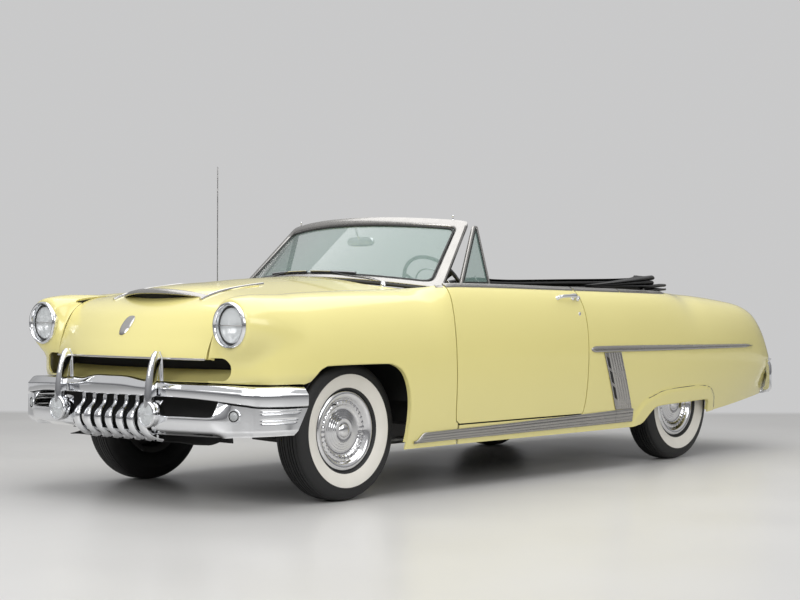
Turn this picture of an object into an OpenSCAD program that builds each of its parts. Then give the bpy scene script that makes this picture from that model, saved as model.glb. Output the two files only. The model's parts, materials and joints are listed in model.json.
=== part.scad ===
// A two-door convertible car of the early 1950s with its top folded down.
// Millimetres. The front faces -Y, the car's left side is +X, and the floor is Z = 0.
// Tables and places along the car are measured from the middle of the wheelbase.

/* [Chassis] */
// Distance between the axles
wheelbase = 2997; // [2900:1:3100]
// Distance between the front wheels' centre planes
front_track = 1473; // [1440:1:1500]
// Distance between the rear wheels' centre planes
rear_track = 1422; // [1400:1:1450]
// Loaded radius of the tyres
tyre_r = 345; // [335:1:350]
// Width of the tyres
tyre_w = 180; // [165:1:190]
// Radius of the wheel rims
rim_r = 196; // [190:1:205]

/* [Body] */
// Thickness of the sheet panels
skin = 10; // [6:1:14]
// Thickness of a whole door
door_thick = 80; // [60:1:90]
// Gap around the doors, hood and trunk lid
gap = 8; // [7:0.5:9]

/* [Glass] */
// Thickness of the windshield and vent glass
glass = 6; // [4:1:8]

/* [Licence plate] */
// Distance across the plate's upper and lower bolt holes
plate_across = 177.8; // [170:0.1:190]
// Distance between the upper and the lower bolt holes
plate_down = 120.65; // [110:0.05:130]
// Diameter of the plate's bolt holes
plate_hole = 7; // [6:0.5:8]

/* [Aerial] */
// Height of the aerial's tip above the floor
aerial_top = 1754; // [1600:1:1800]

/* [Hidden] */
// The middle of the wheelbase is this far ahead of the middle of the car.
mid_y = -150;
front_axle = -wheelbase / 2;
rear_axle = wheelbase / 2;
$fn = 48;

// Colours
paint = "khaki";
chrome = "silver";
dark = [0.16, 0.16, 0.17];
steel = [0.35, 0.35, 0.36];
trim_grey = [0.45, 0.44, 0.43];
hide = [0.2, 0.19, 0.18];
clear = [0.6, 0.75, 0.72];
rubber = [0.08, 0.08, 0.08];

// ---- curves and sheets ----

// A Catmull-Rom step between b and c.
function catmull(a, b, c, d, t) =
    b + 0.5 * t * (c - a + t * (2 * a - 5 * b + 4 * c - d + t * (3 * (b - c) + d - a)));

// The row of a table at a fractional place s.
function row(table, s) =
    let (n = len(table), i = min(floor(s), n - 2), t = s - i,
         a = table[max(i - 1, 0)], b = table[i], c = table[i + 1], d = table[min(i + 2, n - 1)])
    [for (k = [0 : len(b) - 1]) catmull(a[k], b[k], c[k], d[k], t)];

function bezier(a, b, c, d, t) =
    let (u = 1 - t) u * u * u * a + 3 * u * u * t * b + 3 * u * t * t * c + t * t * t * d;

function unit(v) = v / norm(v);

// The body side's ribs, from the hood seam on the nose round the corner and back to the tail.
// Each rib is a curve in an upright plane, from its widest point out to its inner top point:
// [widest x, widest y, top x, top y, inset of the bottom edge, bottom z, widest z,
//  height where the side starts to turn, inset of the shoulder, shoulder z, top z]
SIDE = [
    [583, -2198, 601, -2035,  4, 596, 640, 800,  70, 930,  968],
    [690, -2172, 606, -2030,  6, 594, 640, 870,  30, 975,  978],
    [795, -2120, 610, -2020,  8, 592, 640, 885,  30, 1005, 986],
    [872, -2030, 614, -1985, 10, 590, 640, 900,  40, 1026, 992],
    [908, -1890, 617, -1890, 14, 590, 640, 905,  56, 1040, 1002],
    [922, -1700, 620, -1700, 20, 588, 640, 915,  70, 1055, 1016],
    [928, -1400, 620, -1400, 26, 240, 640, 925,  72, 1068, 1028],
    [929, -1150, 621, -1150, 30, 238, 640, 930,  72, 1075, 1034],
    [928,  -980, 626,  -980, 32, 238, 640, 933,  72, 1078, 1040],
    [927,  -880, 740,  -880, 34, 238, 640, 936,  60, 1070, 1052],
    [926,  -800, 815,  -800, 35, 238, 640, 938,  46, 1058, 1066],
    [926,  -650, 815,  -650, 36, 238, 640, 938,  46, 1056, 1070],
    [925,  -300, 814,  -300, 36, 238, 640, 937,  46, 1052, 1068],
    [924,   100, 812,   100, 36, 238, 640, 935,  46, 1044, 1062],
    [923,   500, 808,   500, 36, 238, 640, 932,  46, 1038, 1056],
    [920,   900, 800,   900, 36, 240, 640, 928,  46, 1032, 1050],
    [916,  1200, 790,  1200, 38, 246, 640, 922,  48, 1028, 1044],
    [911,  1400, 745,  1400, 42, 256, 640, 914,  60, 1030, 1040],
    [904,  1580, 650,  1580, 46, 270, 640, 904,  80, 1034, 1034],
    [893,  1780, 620,  1780, 50, 288, 640, 892,  90, 1020, 1024],
    [873,  2050, 618,  2050, 54, 312, 640, 870,  96, 988, 1002],
    [846,  2300, 612,  2300, 56, 336, 630, 845, 100, 950, 966],
    [818,  2480, 606,  2480, 56, 352, 620, 815, 104, 916, 930],
    [786,  2620, 602,  2620, 50, 362, 610, 800, 100, 886, 900],
    [762,  2688, 600,  2688, 44, 364, 600, 790, 90, 870, 882]
];
// Places in the table of ribs
fender_end = 10.3;
belt_start = 9;
quarter_start = 13.5;
tail = 24;

// The tail leans forwards above its middle, and is undercut below it.
function tail_lean(s, z) =
    pow(min(max((s - 20) / 4, 0), 1), 2) * (z > 600 ? -0.36 * (z - 600) : 0.22 * (z - 600));

// A point of the side at rib s, and at t from 0 (bottom edge) through 1 (widest) to 2 (top).
function side_point(s, t) =
    let (r = row(SIDE, s), m = [r[0], r[1]], top = [r[2], r[3]], reach = norm(top - m),
         in_z = t <= 1
            ? bezier([r[4], r[5]], [r[4] / 2, r[5] + 0.3 * (r[6] - r[5])],
                     [0, r[6] - 0.35 * (r[6] - r[5])], [0, r[6]], t)
            : bezier([0, r[6]], [0, r[7]], [r[8], r[9]], [reach, r[10]], t - 1),
         p = m + (top - m) * in_z[0] / reach)
    [p[0], p[1] + tail_lean(s, in_z[1]), in_z[1]];

// A lid's stations, on the centreline and at the edge: [centre y, centre z, edge x, edge y, edge z]
HOOD = [
    [-1075, 1115, 613,  -990, 1040],
    [-1200, 1110, 613, -1150, 1036],
    [-1450, 1094, 613, -1400, 1028],
    [-1700, 1068, 612, -1660, 1016],
    [-1900, 1034, 609, -1860, 1003],
    [-2050,  985, 603, -1985,  984],
    [-2150,  928, 595, -2075,  944],
    [-2212,  862, 584, -2133,  876],
    [-2262,  788, 577, -2172,  795],
    [-2290,  740, 574, -2192,  742],
    [-2302,  712, 574, -2200,  708]
];
TRUNK = [
    [1690, 1056, 610, 1690, 1034],
    [1850, 1050, 610, 1850, 1022],
    [2050, 1028, 608, 2045, 1000],
    [2230,  992, 604, 2222,  972],
    [2380,  938, 598, 2370,  930],
    [2480,  872, 592, 2465,  870],
    [2545,  790, 586, 2528,  790],
    [2580,  700, 582, 2560,  700],
    [2594,  628, 580, 2574,  628]
];

// A point of a lid at station s, and at u from -1 to 1 across.
function lid_point(table, s, u) =
    let (r = row(table, s), k = 1 - u * u)
    [r[2] * u, r[3] + (r[0] - r[3]) * k, r[4] + (r[1] - r[4]) * k];

// The normal of a grid of points at row i and column j.
function normal(g, i, j) =
    let (n = len(g) - 1, m = len(g[0]) - 1,
         along = g[min(i + 1, n)][j] - g[max(i - 1, 0)][j],
         across = g[i][min(j + 1, m)] - g[i][max(j - 1, 0)])
    unit(cross(along, across));

// A closed sheet between a grid of points and its copy, thick below it.
module sheet(g, thick) {
    n = len(g);
    m = len(g[0]);
    k = n * m;
    top = [for (i = [0 : n - 1]) for (j = [0 : m - 1]) g[i][j]];
    under = [for (i = [0 : n - 1]) for (j = [0 : m - 1]) g[i][j] - thick * normal(g, i, j)];
    faces = concat(
        [for (i = [0 : n - 2]) for (j = [0 : m - 2]) for (f = [
            [i * m + j, i * m + j + 1, (i + 1) * m + j + 1],
            [i * m + j, (i + 1) * m + j + 1, (i + 1) * m + j],
            [k + i * m + j, k + (i + 1) * m + j + 1, k + i * m + j + 1],
            [k + i * m + j, k + (i + 1) * m + j, k + (i + 1) * m + j + 1]]) f],
        [for (i = [0 : n - 2]) for (f = [
            [i * m, (i + 1) * m, k + i * m],
            [(i + 1) * m, k + (i + 1) * m, k + i * m],
            [i * m + m - 1, k + i * m + m - 1, (i + 1) * m + m - 1],
            [(i + 1) * m + m - 1, k + i * m + m - 1, k + (i + 1) * m + m - 1]]) f],
        [for (j = [0 : m - 2]) for (f = [
            [j, k + j, j + 1],
            [j + 1, k + j, k + j + 1],
            [(n - 1) * m + j, (n - 1) * m + j + 1, k + (n - 1) * m + j],
            [(n - 1) * m + j + 1, k + (n - 1) * m + j + 1, k + (n - 1) * m + j]]) f]);
    polyhedron(points = concat(top, under), faces = faces, convexity = 8);
}

// A solid through closed rings of points, with flat ends.
module loft(rings) {
    n = len(rings);
    m = len(rings[0]);
    faces = concat(
        [for (i = [0 : n - 2]) for (j = [0 : m - 1]) for (f = [
            [i * m + j, i * m + (j + 1) % m, (i + 1) * m + (j + 1) % m],
            [i * m + j, (i + 1) * m + (j + 1) % m, (i + 1) * m + j]]) f],
        [[for (j = [m - 1 : -1 : 0]) j], [for (j = [0 : m - 1]) (n - 1) * m + j]]);
    polyhedron(points = [for (r = rings) for (p = r) p], faces = faces, convexity = 8);
}

// The body side between two ribs, with steps along it and up each half of the ribs.
module side_sheet(from, to, steps, thick, rise = 10) {
    sheet([for (i = [0 : steps]) [for (j = [0 : rise])
        side_point(from + (to - from) * i / steps, 2 * j / rise)]], thick);
}

module lid_sheet(table, steps, across, thick, way = 1) {
    sheet([for (i = [0 : steps]) [for (j = [0 : across])
        lid_point(table, (len(table) - 1) * i / steps, way * (2 * j / across - 1))]], thick);
}

// Makes cut sheet panels as one mesh.
module panel() {
    resize([0, 0, 0]) children();
}

// Moves a part from the middle of the wheelbase to its place.
module placed() {
    translate([0, mid_y, 0]) children();
}

module right_hand() {
    mirror([1, 0, 0]) children();
}

module both() {
    children();
    right_hand() children();
}

// An outline in the side view, [y, z], as a block from x = from to x = to.
module side_block(from, to) {
    translate([from, 0, 0]) rotate([90, 0, 90]) linear_extrude(to - from) children();
}

// A round bar between two points.
module bar(a, b, r) {
    v = b - a;
    translate(a) rotate([0, acos(v[2] / norm(v)), atan2(v[1], v[0])]) cylinder(h = norm(v), r = r);
}

// A box between two corners.
module block(a, b) {
    translate(a) cube(b - a);
}

// ---- outlines in the side view ----

// The door: its front edge is nearly straight, and its rear edge bows back.
door_front = -797;
door_rear = 366;
door_low = 345;
door_high = 1100;
module door_outline(grow = 0) {
    offset(delta = grow) polygon([
        [door_front + 8, door_high], [door_front, 900], [door_front + 4, 700],
        [door_front + 14, 400], [door_front + 30, door_low + 12], [door_front + 45, door_low],
        [door_rear - 45, door_low], [door_rear - 30, door_low + 10], [door_rear - 12, 450],
        [door_rear, 700], [door_rear - 4, 880], [door_rear - 22, 1000], [door_rear - 40, door_high]]);
}

// The front wheel's opening, flat on top and open below.
module front_arch() {
    polygon([
        [-1885, 0], [-1878, 400], [-1866, 500], [-1846, 575], [-1808, 636], [-1760, 668],
        [-1690, 676], [-1350, 676], [-1280, 668], [-1220, 640], [-1180, 590], [-1155, 520],
        [-1146, 440], [-1152, 330], [-1168, 250], [-1180, 0]]);
}

// The rear wheel's low opening, under a skirt.
module rear_arch() {
    polygon([
        [845, 0], [848, 238], [905, 246], [965, 268], [1020, 310], [1075, 345], [1150, 358],
        [1700, 372], [1728, 362], [1742, 335], [1746, 0]]);
}

// ---- outer body ----

// The edge that a door shuts against.
module door_jamb(from, to) {
    intersection() {
        side_sheet(from, to, 5, 100, rise = 8);
        side_block(600, 1000) difference() {
            door_outline(gap + 8);
            door_outline(gap);
        }
    }
}

// The round nose that carries a headlamp.
module lamp_pod() {
    hull() {
        translate([726, -2184, 865]) rotate([-90, 0, 0]) cylinder(h = 10, r = 112, $fn = 40);
        translate([726, -2000, 880]) rotate([-90, 0, 0]) cylinder(h = 10, r = 128, $fn = 40);
    }
}

module front_fender() {
    color(paint) panel() difference() {
        union() {
            side_sheet(0, fender_end, 24, skin);
            intersection() {
                lamp_pod();
                block([500, -2200, 700], [900, -2060, 1010]);
            }
            door_jamb(8.6, 10.3);
        }
        side_block(600, 1000) front_arch();
        side_block(700, 1000) door_outline(gap);
        translate([726, -2300, 865]) rotate([-90, 0, 0]) cylinder(h = 260, r = 98, $fn = 32);
    }
}
module front_fender_left() { placed() front_fender(); }
module front_fender_right() { placed() right_hand() front_fender(); }

// The closed end of a rear fender.
module tail_end() {
    ring = [for (j = [0 : 10]) side_point(tail, j / 5)];
    low = ring[0];
    high = ring[10];
    loft([for (d = [-12, 0]) [for (p = concat([[low[0] - 60, low[1], low[2]]], ring,
        [[high[0] - 10, high[1], high[2] - 16], [low[0] - 130, low[1], low[2] + 60]]))
        p + [0, d, 0]]]);
}

// The wall between a rear fender's end and the trunk lid.
module tail_wall() {
    sheet([for (i = [0 : 5]) let (s = 19 + i, top = side_point(s, 2), drop = pow(i / 5, 1.2))
        [for (j = [0 : 2]) [top[0] - j, top[1] + (j / 2) * tail_lean(s, 400),
            top[2] - 2 - (j / 2) * (40 + (top[2] - 400) * drop)]]], 6);
}

module rear_quarter() {
    color(paint) panel() difference() {
        union() {
            side_sheet(quarter_start, tail, 21, skin);
            tail_wall();
            tail_end();
            door_jamb(13.1, 15);
        }
        side_block(500, 1000) door_outline(gap);
        side_block(500, 1000) rear_arch();
        block([0, 0, 200], [1000, 301, 338]);
    }
}
module rear_quarter_left() { placed() rear_quarter(); }
module rear_quarter_right() { placed() right_hand() rear_quarter(); }

module door() {
    color(paint) panel() union() {
        intersection() {
            side_sheet(belt_start, 16, 14, skin);
            side_block(700, 1000) door_outline();
        }
        intersection() {
            side_sheet(belt_start, 16, 14, door_thick);
            side_block(700, 1000) door_outline(-14);
        }
    }
}
module door_left() { placed() door(); }
module door_right() { placed() right_hand() door(); }

module rockers() {
    color(paint) placed() both() panel() intersection() {
        side_sheet(9.5, 14, 12, skin);
        side_block(700, 1000) polygon([[-751, 200], [299, 200], [299, 337], [-751, 337]]);
    }
}

module hood() {
    color(paint) placed() lid_sheet(HOOD, 18, 12, skin);
}

// A point of the scoop: v runs from its mouth (0) to its tail (1), and u across it.
scoop_height = 42;
scoop_half = 0.56;
function scoop_point(v, u) =
    let (p = lid_point(HOOD, 5 - 2.2 * v, u * scoop_half),
         lift = scoop_height * pow(max(1 - u * u, 0), 0.6) * pow(1 - v, 1.2))
    p + [0, 90 * u * u * (1 - v) - 10, 3 + lift];
module hood_scoop() {
    color(paint) placed() sheet([for (i = [0 : 8]) [for (j = [0 : 12])
        scoop_point(1 - i / 8, j / 6 - 1)]], 3);
}

module trunk_lid() {
    color(paint) placed() lid_sheet(TRUNK, 14, 10, skin, -1);
}

// The panel behind the top well, the trunk's sill and the panel under its lid.
module rear_deck() {
    color(paint) placed() panel() union() {
        // The deck between the well and the lid
        sheet([for (i = [0 : 2]) [for (j = [0 : 12]) let (u = 1 - j / 6)
            [626 * u, 1642 + 20 * i, 1034 + 22 * (1 - u * u)]]], skin);
        // The panel under the lid
        sheet([for (i = [0 : 5]) [for (j = [0 : 10]) let (u = 1 - j / 5)
            [584 * u, 2600 - 18 * u * u + 6 * sin(i * 36) - i * i, 618 - 52 * i]]], skin);
        // The well's floor and its back wall
        block([-600, 1185, 790], [600, 1650, 798]);
        block([-600, 1642, 790], [600, 1650, 1038]);
    }
}

// ---- cowl, windshield and cabin ----

// A point of the windshield's surface: u from -1 to 1 across, v from 0 at its foot to 1 at its top.
function shield_point(u, v) =
    let (foot = [775 * u, -985 + 240 * pow(abs(u), 2.2), 1112 - 60 * u * u],
         head = [672 * u, -578 + 160 * u * u, 1436 - 32 * u * u])
    foot + (head - foot) * v;
module shield_sheet(u0, u1, v0, v1, n, m, thick) {
    sheet([for (i = [0 : m]) [for (j = [0 : n])
        shield_point(u1 + (u0 - u1) * j / n, v0 + (v1 - v0) * i / m)]], thick);
}
module windshield_frame() {
    color(trim_grey) placed() panel() union() {
        shield_sheet(-1.01, 1.01, 0.93, 1.04, 18, 2, 34);
        shield_sheet(-1, 1, -0.03, 0.05, 18, 2, 26);
        both() shield_sheet(0.93, 1.02, -0.03, 1.04, 3, 4, 40);
    }
}
module windshield_glass() {
    color(clear) placed() translate([0, 9, -7]) shield_sheet(-0.92, 0.92, 0.06, 0.915, 20, 6, glass);
}

// The cowl's top ahead of the windshield, the firewall and the hinge posts.
function cowl_edge(x) = -1063 + 83 * pow(x / 613, 2);
// Half widths of the cowl's top from its front edge to its rear edge
COWL_HALF = [612, 684, 744, 768];
module cowl() {
    color(paint) placed() panel() union() {
        sheet([for (i = [0 : 3]) [for (j = [0 : 16]) let (
            u = 1 - j / 8, wide = COWL_HALF[i], foot = shield_point(u, -0.09),
            front = [0, cowl_edge(612 * u), 1110 - 74 * u * u], back = [0, foot[1], foot[2] - 4 + 8 * u * u],
            p = front + (back - front) * i / 3) [wide * u, p[1], p[2]]]], skin);
        difference() {
            union() {
                block([-640, -970, 352], [640, -962, 1020]);
                both() block([632, -970, 352], [780, -962, 1000]);
                both() block([772, -970, 352], [780, -820, 1000]);
            }
            bar(wheel_centre, wheel_centre + 900 * column_way, 36);
        }
    }
}

module dashboard() {
    color(paint) placed() difference() {
        side_block(-755, 755) polygon([
            [-790, 984], [-700, 1002], [-640, 1006], [-606, 998], [-596, 980], [-606, 890],
            [-640, 800], [-660, 790], [-668, 800], [-628, 895], [-612, 972], [-640, 990],
            [-700, 986], [-790, 970]]);
        bar(wheel_centre, wheel_centre + 600 * column_way, 36);
    }
}

wheel_centre = [380, -354, 1050];
column_angle = 30;
column_way = [0, -cos(column_angle), -sin(column_angle)];
module steering_column() {
    color(dark) placed() union() {
        bar(wheel_centre + 45 * column_way, wheel_centre + 740 * column_way, 28);
        bar(wheel_centre + 700 * column_way, wheel_centre + 1090 * column_way, 12);
        translate(wheel_centre + 1120 * column_way) cube([66, 110, 90], center = true);
    }
}

module steering_wheel() {
    color(dark) placed() translate(wheel_centre) rotate([90 - column_angle, 0, 0])
        translate([0, 0, 0]) union() {
        rotate_extrude() translate([205, 0]) circle(r = 11);
        translate([0, 0, -34]) cylinder(h = 46, r = 38);
        for (a = [0, 120, 240]) rotate([0, 0, a + 90]) translate([0, -9, -16]) cube([200, 18, 9]);
        rotate_extrude() translate([120, -8]) circle(r = 4.5);
    }
}

// A bench's cushion between two x, as a block with rounded front.
module cushion(half, front, back, low, high) {
    side_block(-half, half) offset(r = 30) offset(delta = -30)
        polygon([[front, low], [back, low - 20], [back, high - 40], [front, high]]);
}
module seat_back(from, to, foot, lean, low, high, thick) {
    side_block(from, to) offset(r = 34) offset(delta = -34) polygon([
        [foot, low], [foot + thick, low], [foot + lean + thick, high], [foot + lean, high]]);
}
module front_seat() {
    color(hide) placed() union() {
        cushion(665, -300, 260, 440, 615);
        both() block([540, -230, 350], [600, 230, 445]);
    }
}
module front_back() {
    color(hide) seat_back(8, 665, 235, 110, 660, 960, 110);
}
module seat_back_left() { placed() front_back(); }
module seat_back_right() { placed() right_hand() front_back(); }
module rear_seat() {
    color(hide) placed() union() {
        side_block(-570, 570) offset(r = 30) offset(delta = -30) polygon([
            [640, 400], [850, 400], [850, 560], [1110, 560], [1110, 600], [640, 640]]);
        seat_back(-570, 570, 1030, 60, 645, 960, 92);
        both() block([578, 660, 560], [770, 1112, 800]);
    }
}

// ---- folded top ----

module folded_top() {
    color(dark) placed() union() {
        side_block(-590, 590) offset(r = 28) offset(delta = -28) polygon([
            [1235, 900], [1610, 860], [1612, 1060], [1560, 1130], [1440, 1140], [1330, 1110],
            [1235, 1060]]);
        both() side_block(680, 740) polygon([
            [700, 1040], [1230, 1010], [1290, 1000], [1290, 1100], [1230, 1090], [700, 1066]]);
        both() side_block(588, 682) polygon([
            [1240, 1000], [1290, 1000], [1290, 1090], [1240, 1090]]);
    }
}

// ---- front end ----

// The bumper's stations from the middle to its end: [x, y, low z, high z]
BUMPER = [
    [0,   -2352, 528, 620],
    [90,  -2350, 528, 620],
    [150, -2342, 528, 616],
    [250, -2326, 528, 602],
    [400, -2300, 526, 596],
    [550, -2274, 522, 592],
    [650, -2253, 516, 590],
    [672, -2247, 366, 589],
    [770, -2218, 360, 586],
    [850, -2188, 356, 584],
    [896, -2142, 356, 583],
    [920, -2060, 356, 583],
    [929, -1970, 360, 582],
    [930, -1884, 440, 578]
];
bumper_depth = 56;
function bumper_way(i) =
    let (a = BUMPER[max(i - 1, 0)], b = BUMPER[min(i + 1, len(BUMPER) - 1)])
    i == 0 ? [0, -1] : unit([b[1] - a[1], a[0] - b[0]]);
// A channel section: [out, height from 0 to 1]
CHANNEL = [
    [-56, 0.06], [-16, 0], [0, 0.12], [6, 0.5], [0, 0.88], [-16, 1], [-56, 0.94],
    [-56, 0.86], [-20, 0.9], [-8, 0.82], [-2, 0.5], [-8, 0.18], [-20, 0.1], [-56, 0.14]
];
function bumper_ring(i) =
    let (r = BUMPER[i], w = bumper_way(i))
    [for (c = CHANNEL) [r[0] + w[0] * c[0], r[1] + w[1] * c[0], r[2] + c[1] * (r[3] - r[2])]];
module front_bumper() {
    half = [for (i = [0 : len(BUMPER) - 1]) bumper_ring(i)];
    whole = concat([for (i = [len(half) - 1 : -1 : 1]) [for (p = half[i]) [-p[0], p[1], p[2]]]], half);
    color(chrome) placed() panel() loft(whole);
}

// The pan under the bumper, its two openings, and the teeth between the guards.
module tooth(x) {
    out = [[-2316, 520], [-2318, 470], [-2342, 436], [-2340, 390], [-2302, 338], [-2236, 316]];
    loft([for (p = out) let (w = p[1] > 460 ? 10 : 17)
        [[x - w, p[0] + 26, p[1]], [x - w, p[0] + 10, p[1]], [x, p[0], p[1] - 4], [x + w, p[0] + 10, p[1]],
         [x + w, p[0] + 26, p[1]]]]);
}
module lower_grille() {
    color(chrome) placed() panel() union() {
        difference() {
            sheet([for (i = [0 : 5]) [for (j = [0 : 16]) let (
                x = 640 * (j / 8 - 1), z = 500 - 30 * i)
                [x, -2294 + 84 * pow(x / 660, 2) + 0.9 * i * i, z]]], 8);
            both() block([285, -2400, 402], [612, -2100, 600]);
            block([-250, -2400, 446], [250, -2100, 600]);
        }
        for (i = [-3 : 3]) tooth(i * 74);
    }
}

module bumper_guards() {
    color(chrome) placed() both() union() {
        translate([350, -2418, 446]) rotate([-90, 0, 0]) cylinder(h = 90, r = 62);
        loft([for (r = [[500, 26, -2392], [560, 24, -2392], [620, 22, -2380], [700, 19, -2356], [737, 12, -2338]])
            [for (a = [315 : -45 : 0]) [350 + r[1] * cos(a), r[2] + 1.3 * r[1] * sin(a), r[0]]]]);
    }
}

module headlamps() {
    color(chrome) placed() both() translate([726, -2192, 865]) rotate([-90, 0, 0]) rotate_extrude()
        polygon([[0, -6], [60, -3], [84, 4], [92, -2], [94, 8], [94, 90], [40, 118], [0, 118]]);
}

module radiator() {
    color(dark) placed() block([-330, -2010, 430], [330, -1930, 920]);
}

module engine() {
    color(steel) placed() block([-260, -1860, 430], [260, -1060, 930]);
}

// ---- rear end ----

// The rear bumper's stations from the middle to its end: [x, y, low z, high z, depth]
REAR_BUMPER = [
    [0,   2712, 424, 530, 1],
    [300, 2712, 424, 530, 1],
    [560, 2710, 422, 532, 1],
    [622, 2709, 410, 548, 0.6],
    [650, 2708, 366, 608, 0.25],
    [716, 2707, 364, 610, 0.25],
    [752, 2704, 364, 608, 0.2],
    [768, 2698, 368, 604, 0.12]
];
function rear_way(i) =
    let (a = REAR_BUMPER[max(i - 1, 0)], b = REAR_BUMPER[min(i + 1, len(REAR_BUMPER) - 1)])
    i == 0 ? [0, 1] : unit([a[1] - b[1], b[0] - a[0]]);
function rear_ring(i) =
    let (r = REAR_BUMPER[i], w = rear_way(i))
    [for (k = [len(CHANNEL) - 1 : -1 : 0]) let (c = CHANNEL[k], out = c[0] * r[4])
        [r[0] + w[0] * out, r[1] + w[1] * out, r[2] + c[1] * (r[3] - r[2])]];
module rear_bumper() {
    half = [for (i = [0 : len(REAR_BUMPER) - 1]) rear_ring(i)];
    whole = concat([for (i = [len(half) - 1 : -1 : 1]) [for (p = half[i]) [-p[0], p[1], p[2]]]], half);
    color(chrome) placed() panel() union() {
        loft(whole);
        both() block([460, 2612, 440], [500, 2668, 500]);
    }
}

// The licence plate's bracket, with four bolt holes
module plate_bracket() {
    color(steel) placed() union() {
        difference() {
            block([-110, 2684, 540], [110, 2690, 700]);
            for (x = [-1, 1], z = [-1, 1])
                translate([x * plate_across / 2, 2670, 620 + z * plate_down / 2])
                    rotate([-90, 0, 0]) cylinder(h = 40, d = plate_hole);
        }
        block([-30, 2604, 560], [30, 2688, 580]);
    }
}

module tail_lamps() {
    color("firebrick") placed() both() hull() {
        for (x = [676, 706]) {
            translate([x, 2699, 616]) cylinder(h = 6, r = 13, $fn = 24);
            translate([x, 2626, 826]) cylinder(h = 6, r = 13, $fn = 24);
        }
    }
}

// ---- chassis ----

shaft_z = 287;
rail_in = 350;
rail_out = 425;
module frame() {
    color(dark) placed() union() {
        both() side_block(rail_in, rail_out) polygon([
            [-2130, 430], [-1750, 400], [-1200, 320], [-1000, 250], [900, 250], [1130, 440],
            [1720, 440], [1900, 430], [2480, 420], [2480, 500], [1900, 520], [1720, 535],
            [1100, 535], [868, 338], [-1000, 338], [-1200, 410], [-1750, 490], [-2130, 510]]);
        for (c = [[-2120, 430, 500], [-1540, 330, 415], [985, 390, 438], [2440, 430, 490]])
            block([-rail_in - 5, c[0], c[1]], [rail_in + 5, c[0] + 80, c[2]]);
        difference() {
            for (s = [-1, 1]) translate([0, -40, 254]) rotate([0, 0, s * 22])
                translate([-35, -880, 0]) cube([70, 1760, 82]);
            bar([0, -1200, shaft_z], [0, 1200, shaft_z + 15], 36);
        }
        both() for (y = [-850, 800]) block([rail_in - 10, y, 236], [rail_out + 10, y + 120, 252]);
    }
}

// The box over a rear wheel.
module wheelhouse() {
    difference() {
        block([592, 1120, 545], [838, 1884, 776]);
        block([600, 1128, 500], [850, 1876, 768]);
    }
}

module floor() {
    color(dark) placed() panel() union() {
        block([-800, -961, 341], [800, 865, 349]);
        block([-860, -735, 341], [860, 290, 349]);
        both() block([852, -735, 250], [860, 290, 345]);
        block([-780, 857, 341], [780, 865, 553]);
        both() block([590, 857, 345], [780, 1128, 553]);
        block([-594, 857, 545], [594, 2560, 553]);
        both() wheelhouse();
    }
}

module front_suspension() {
    color(steel) placed() both() union() {
        // Wishbones
        for (s = [-1, 1]) {
            bar([300, front_axle + s * 150, 298], [600, front_axle + s * 12, 268], 15);
            bar([428, front_axle + s * 90, 480], [600, front_axle + s * 10, 478], 13);
        }
        bar([484, front_axle, 285], [484, front_axle, 540], 50);
        bar([430, front_axle, 520], [470, front_axle, 520], 22);
    }
}

king_x = 622;
module knuckle() {
    color(steel) translate([0, front_axle, 0]) union() {
        translate([king_x, 0, 250]) cylinder(h = 245, r = 15);
        bar([king_x, 0, tyre_r], [front_track / 2 - 8, 0, tyre_r], 20);
        bar([king_x, 0, 400], [king_x - 50, 150, 400], 10);
    }
}
module knuckle_left() { placed() knuckle(); }
module knuckle_right() { placed() right_hand() knuckle(); }

module rear_axle() {
    color(steel) placed() union() {
        bar([-630, rear_axle, tyre_r], [630, rear_axle, tyre_r], 42);
        translate([0, rear_axle, tyre_r]) rotate([0, 90, 0]) rotate_extrude() polygon([
            [0, -130], [60, -122], [112, -70], [130, 0], [112, 70], [60, 122], [0, 130]]);
        bar([0, -900, shaft_z + 2], [0, rear_axle - 60, shaft_z + 16], 26);
        both() {
            bar([630, rear_axle, tyre_r], [rear_track / 2 - 8, rear_axle, tyre_r], 24);
            side_block(470, 530) polygon([
                [880, 330], [rear_axle, 288], [2180, 400], [2180, 416], [rear_axle, 310], [880, 346]]);
        }
    }
}

module exhaust() {
    color(steel) placed() union() {
        bar([200, -1100, 345], [200, -900, 205], 24);
        bar([200, -910, 207], [200, 300, 205], 24);
        bar([200, 290, 203], [200, 780, 203], 48);
        bar([200, 770, 205], [200, 1010, 215], 24);
        bar([200, 1005, 212], [270, 1200, 512], 22);
        bar([270, 1190, 508], [270, 1800, 508], 22);
        bar([270, 1790, 508], [380, 1905, 325], 22);
        bar([380, 1900, 328], [470, 2640, 325], 22);
    }
}

module fuel_tank() {
    color(steel) placed() block([-330, 1920, 380], [330, 2400, 540]);
}

// ---- small fittings ----

module aerial() {
    color(chrome) placed() union() {
        bar([-720, -990, 1040], [-720, -990, 1080], 12);
        bar([-720, -990, 1075], [-720, -990, aerial_top], 3);
    }
}

module mirror_body() {
    hull() for (x = [-70, 70]) translate([x, -560, 1318]) rotate([-90, 0, 0]) cylinder(h = 18, r = 28);
}
module rear_view_mirror() {
    color(chrome) placed() union() {
        mirror_body();
        bar([0, -552, 1330], [0, -584, 1383], 6);
    }
}

// The vent window's foot on the door, its lean, and its outline in its own plane
vent_foot = [796, 0, 1072];
vent_lean = 17.3;
VENT = [[-612, 0], [-384, 0], [-374, 324], [-392, 324]];
module vent_window() {
    color(trim_grey) translate(vent_foot) rotate([0, -vent_lean, 0]) union() {
        side_block(-8, 8) difference() {
            offset(r = 9) polygon(VENT);
            offset(delta = -9) polygon(VENT);
        }
        side_block(-glass / 2, glass / 2) polygon(VENT);
    }
}
module vent_window_left() { placed() vent_window(); }
module vent_window_right() { placed() right_hand() vent_window(); }

// ---- wheels ----

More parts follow.
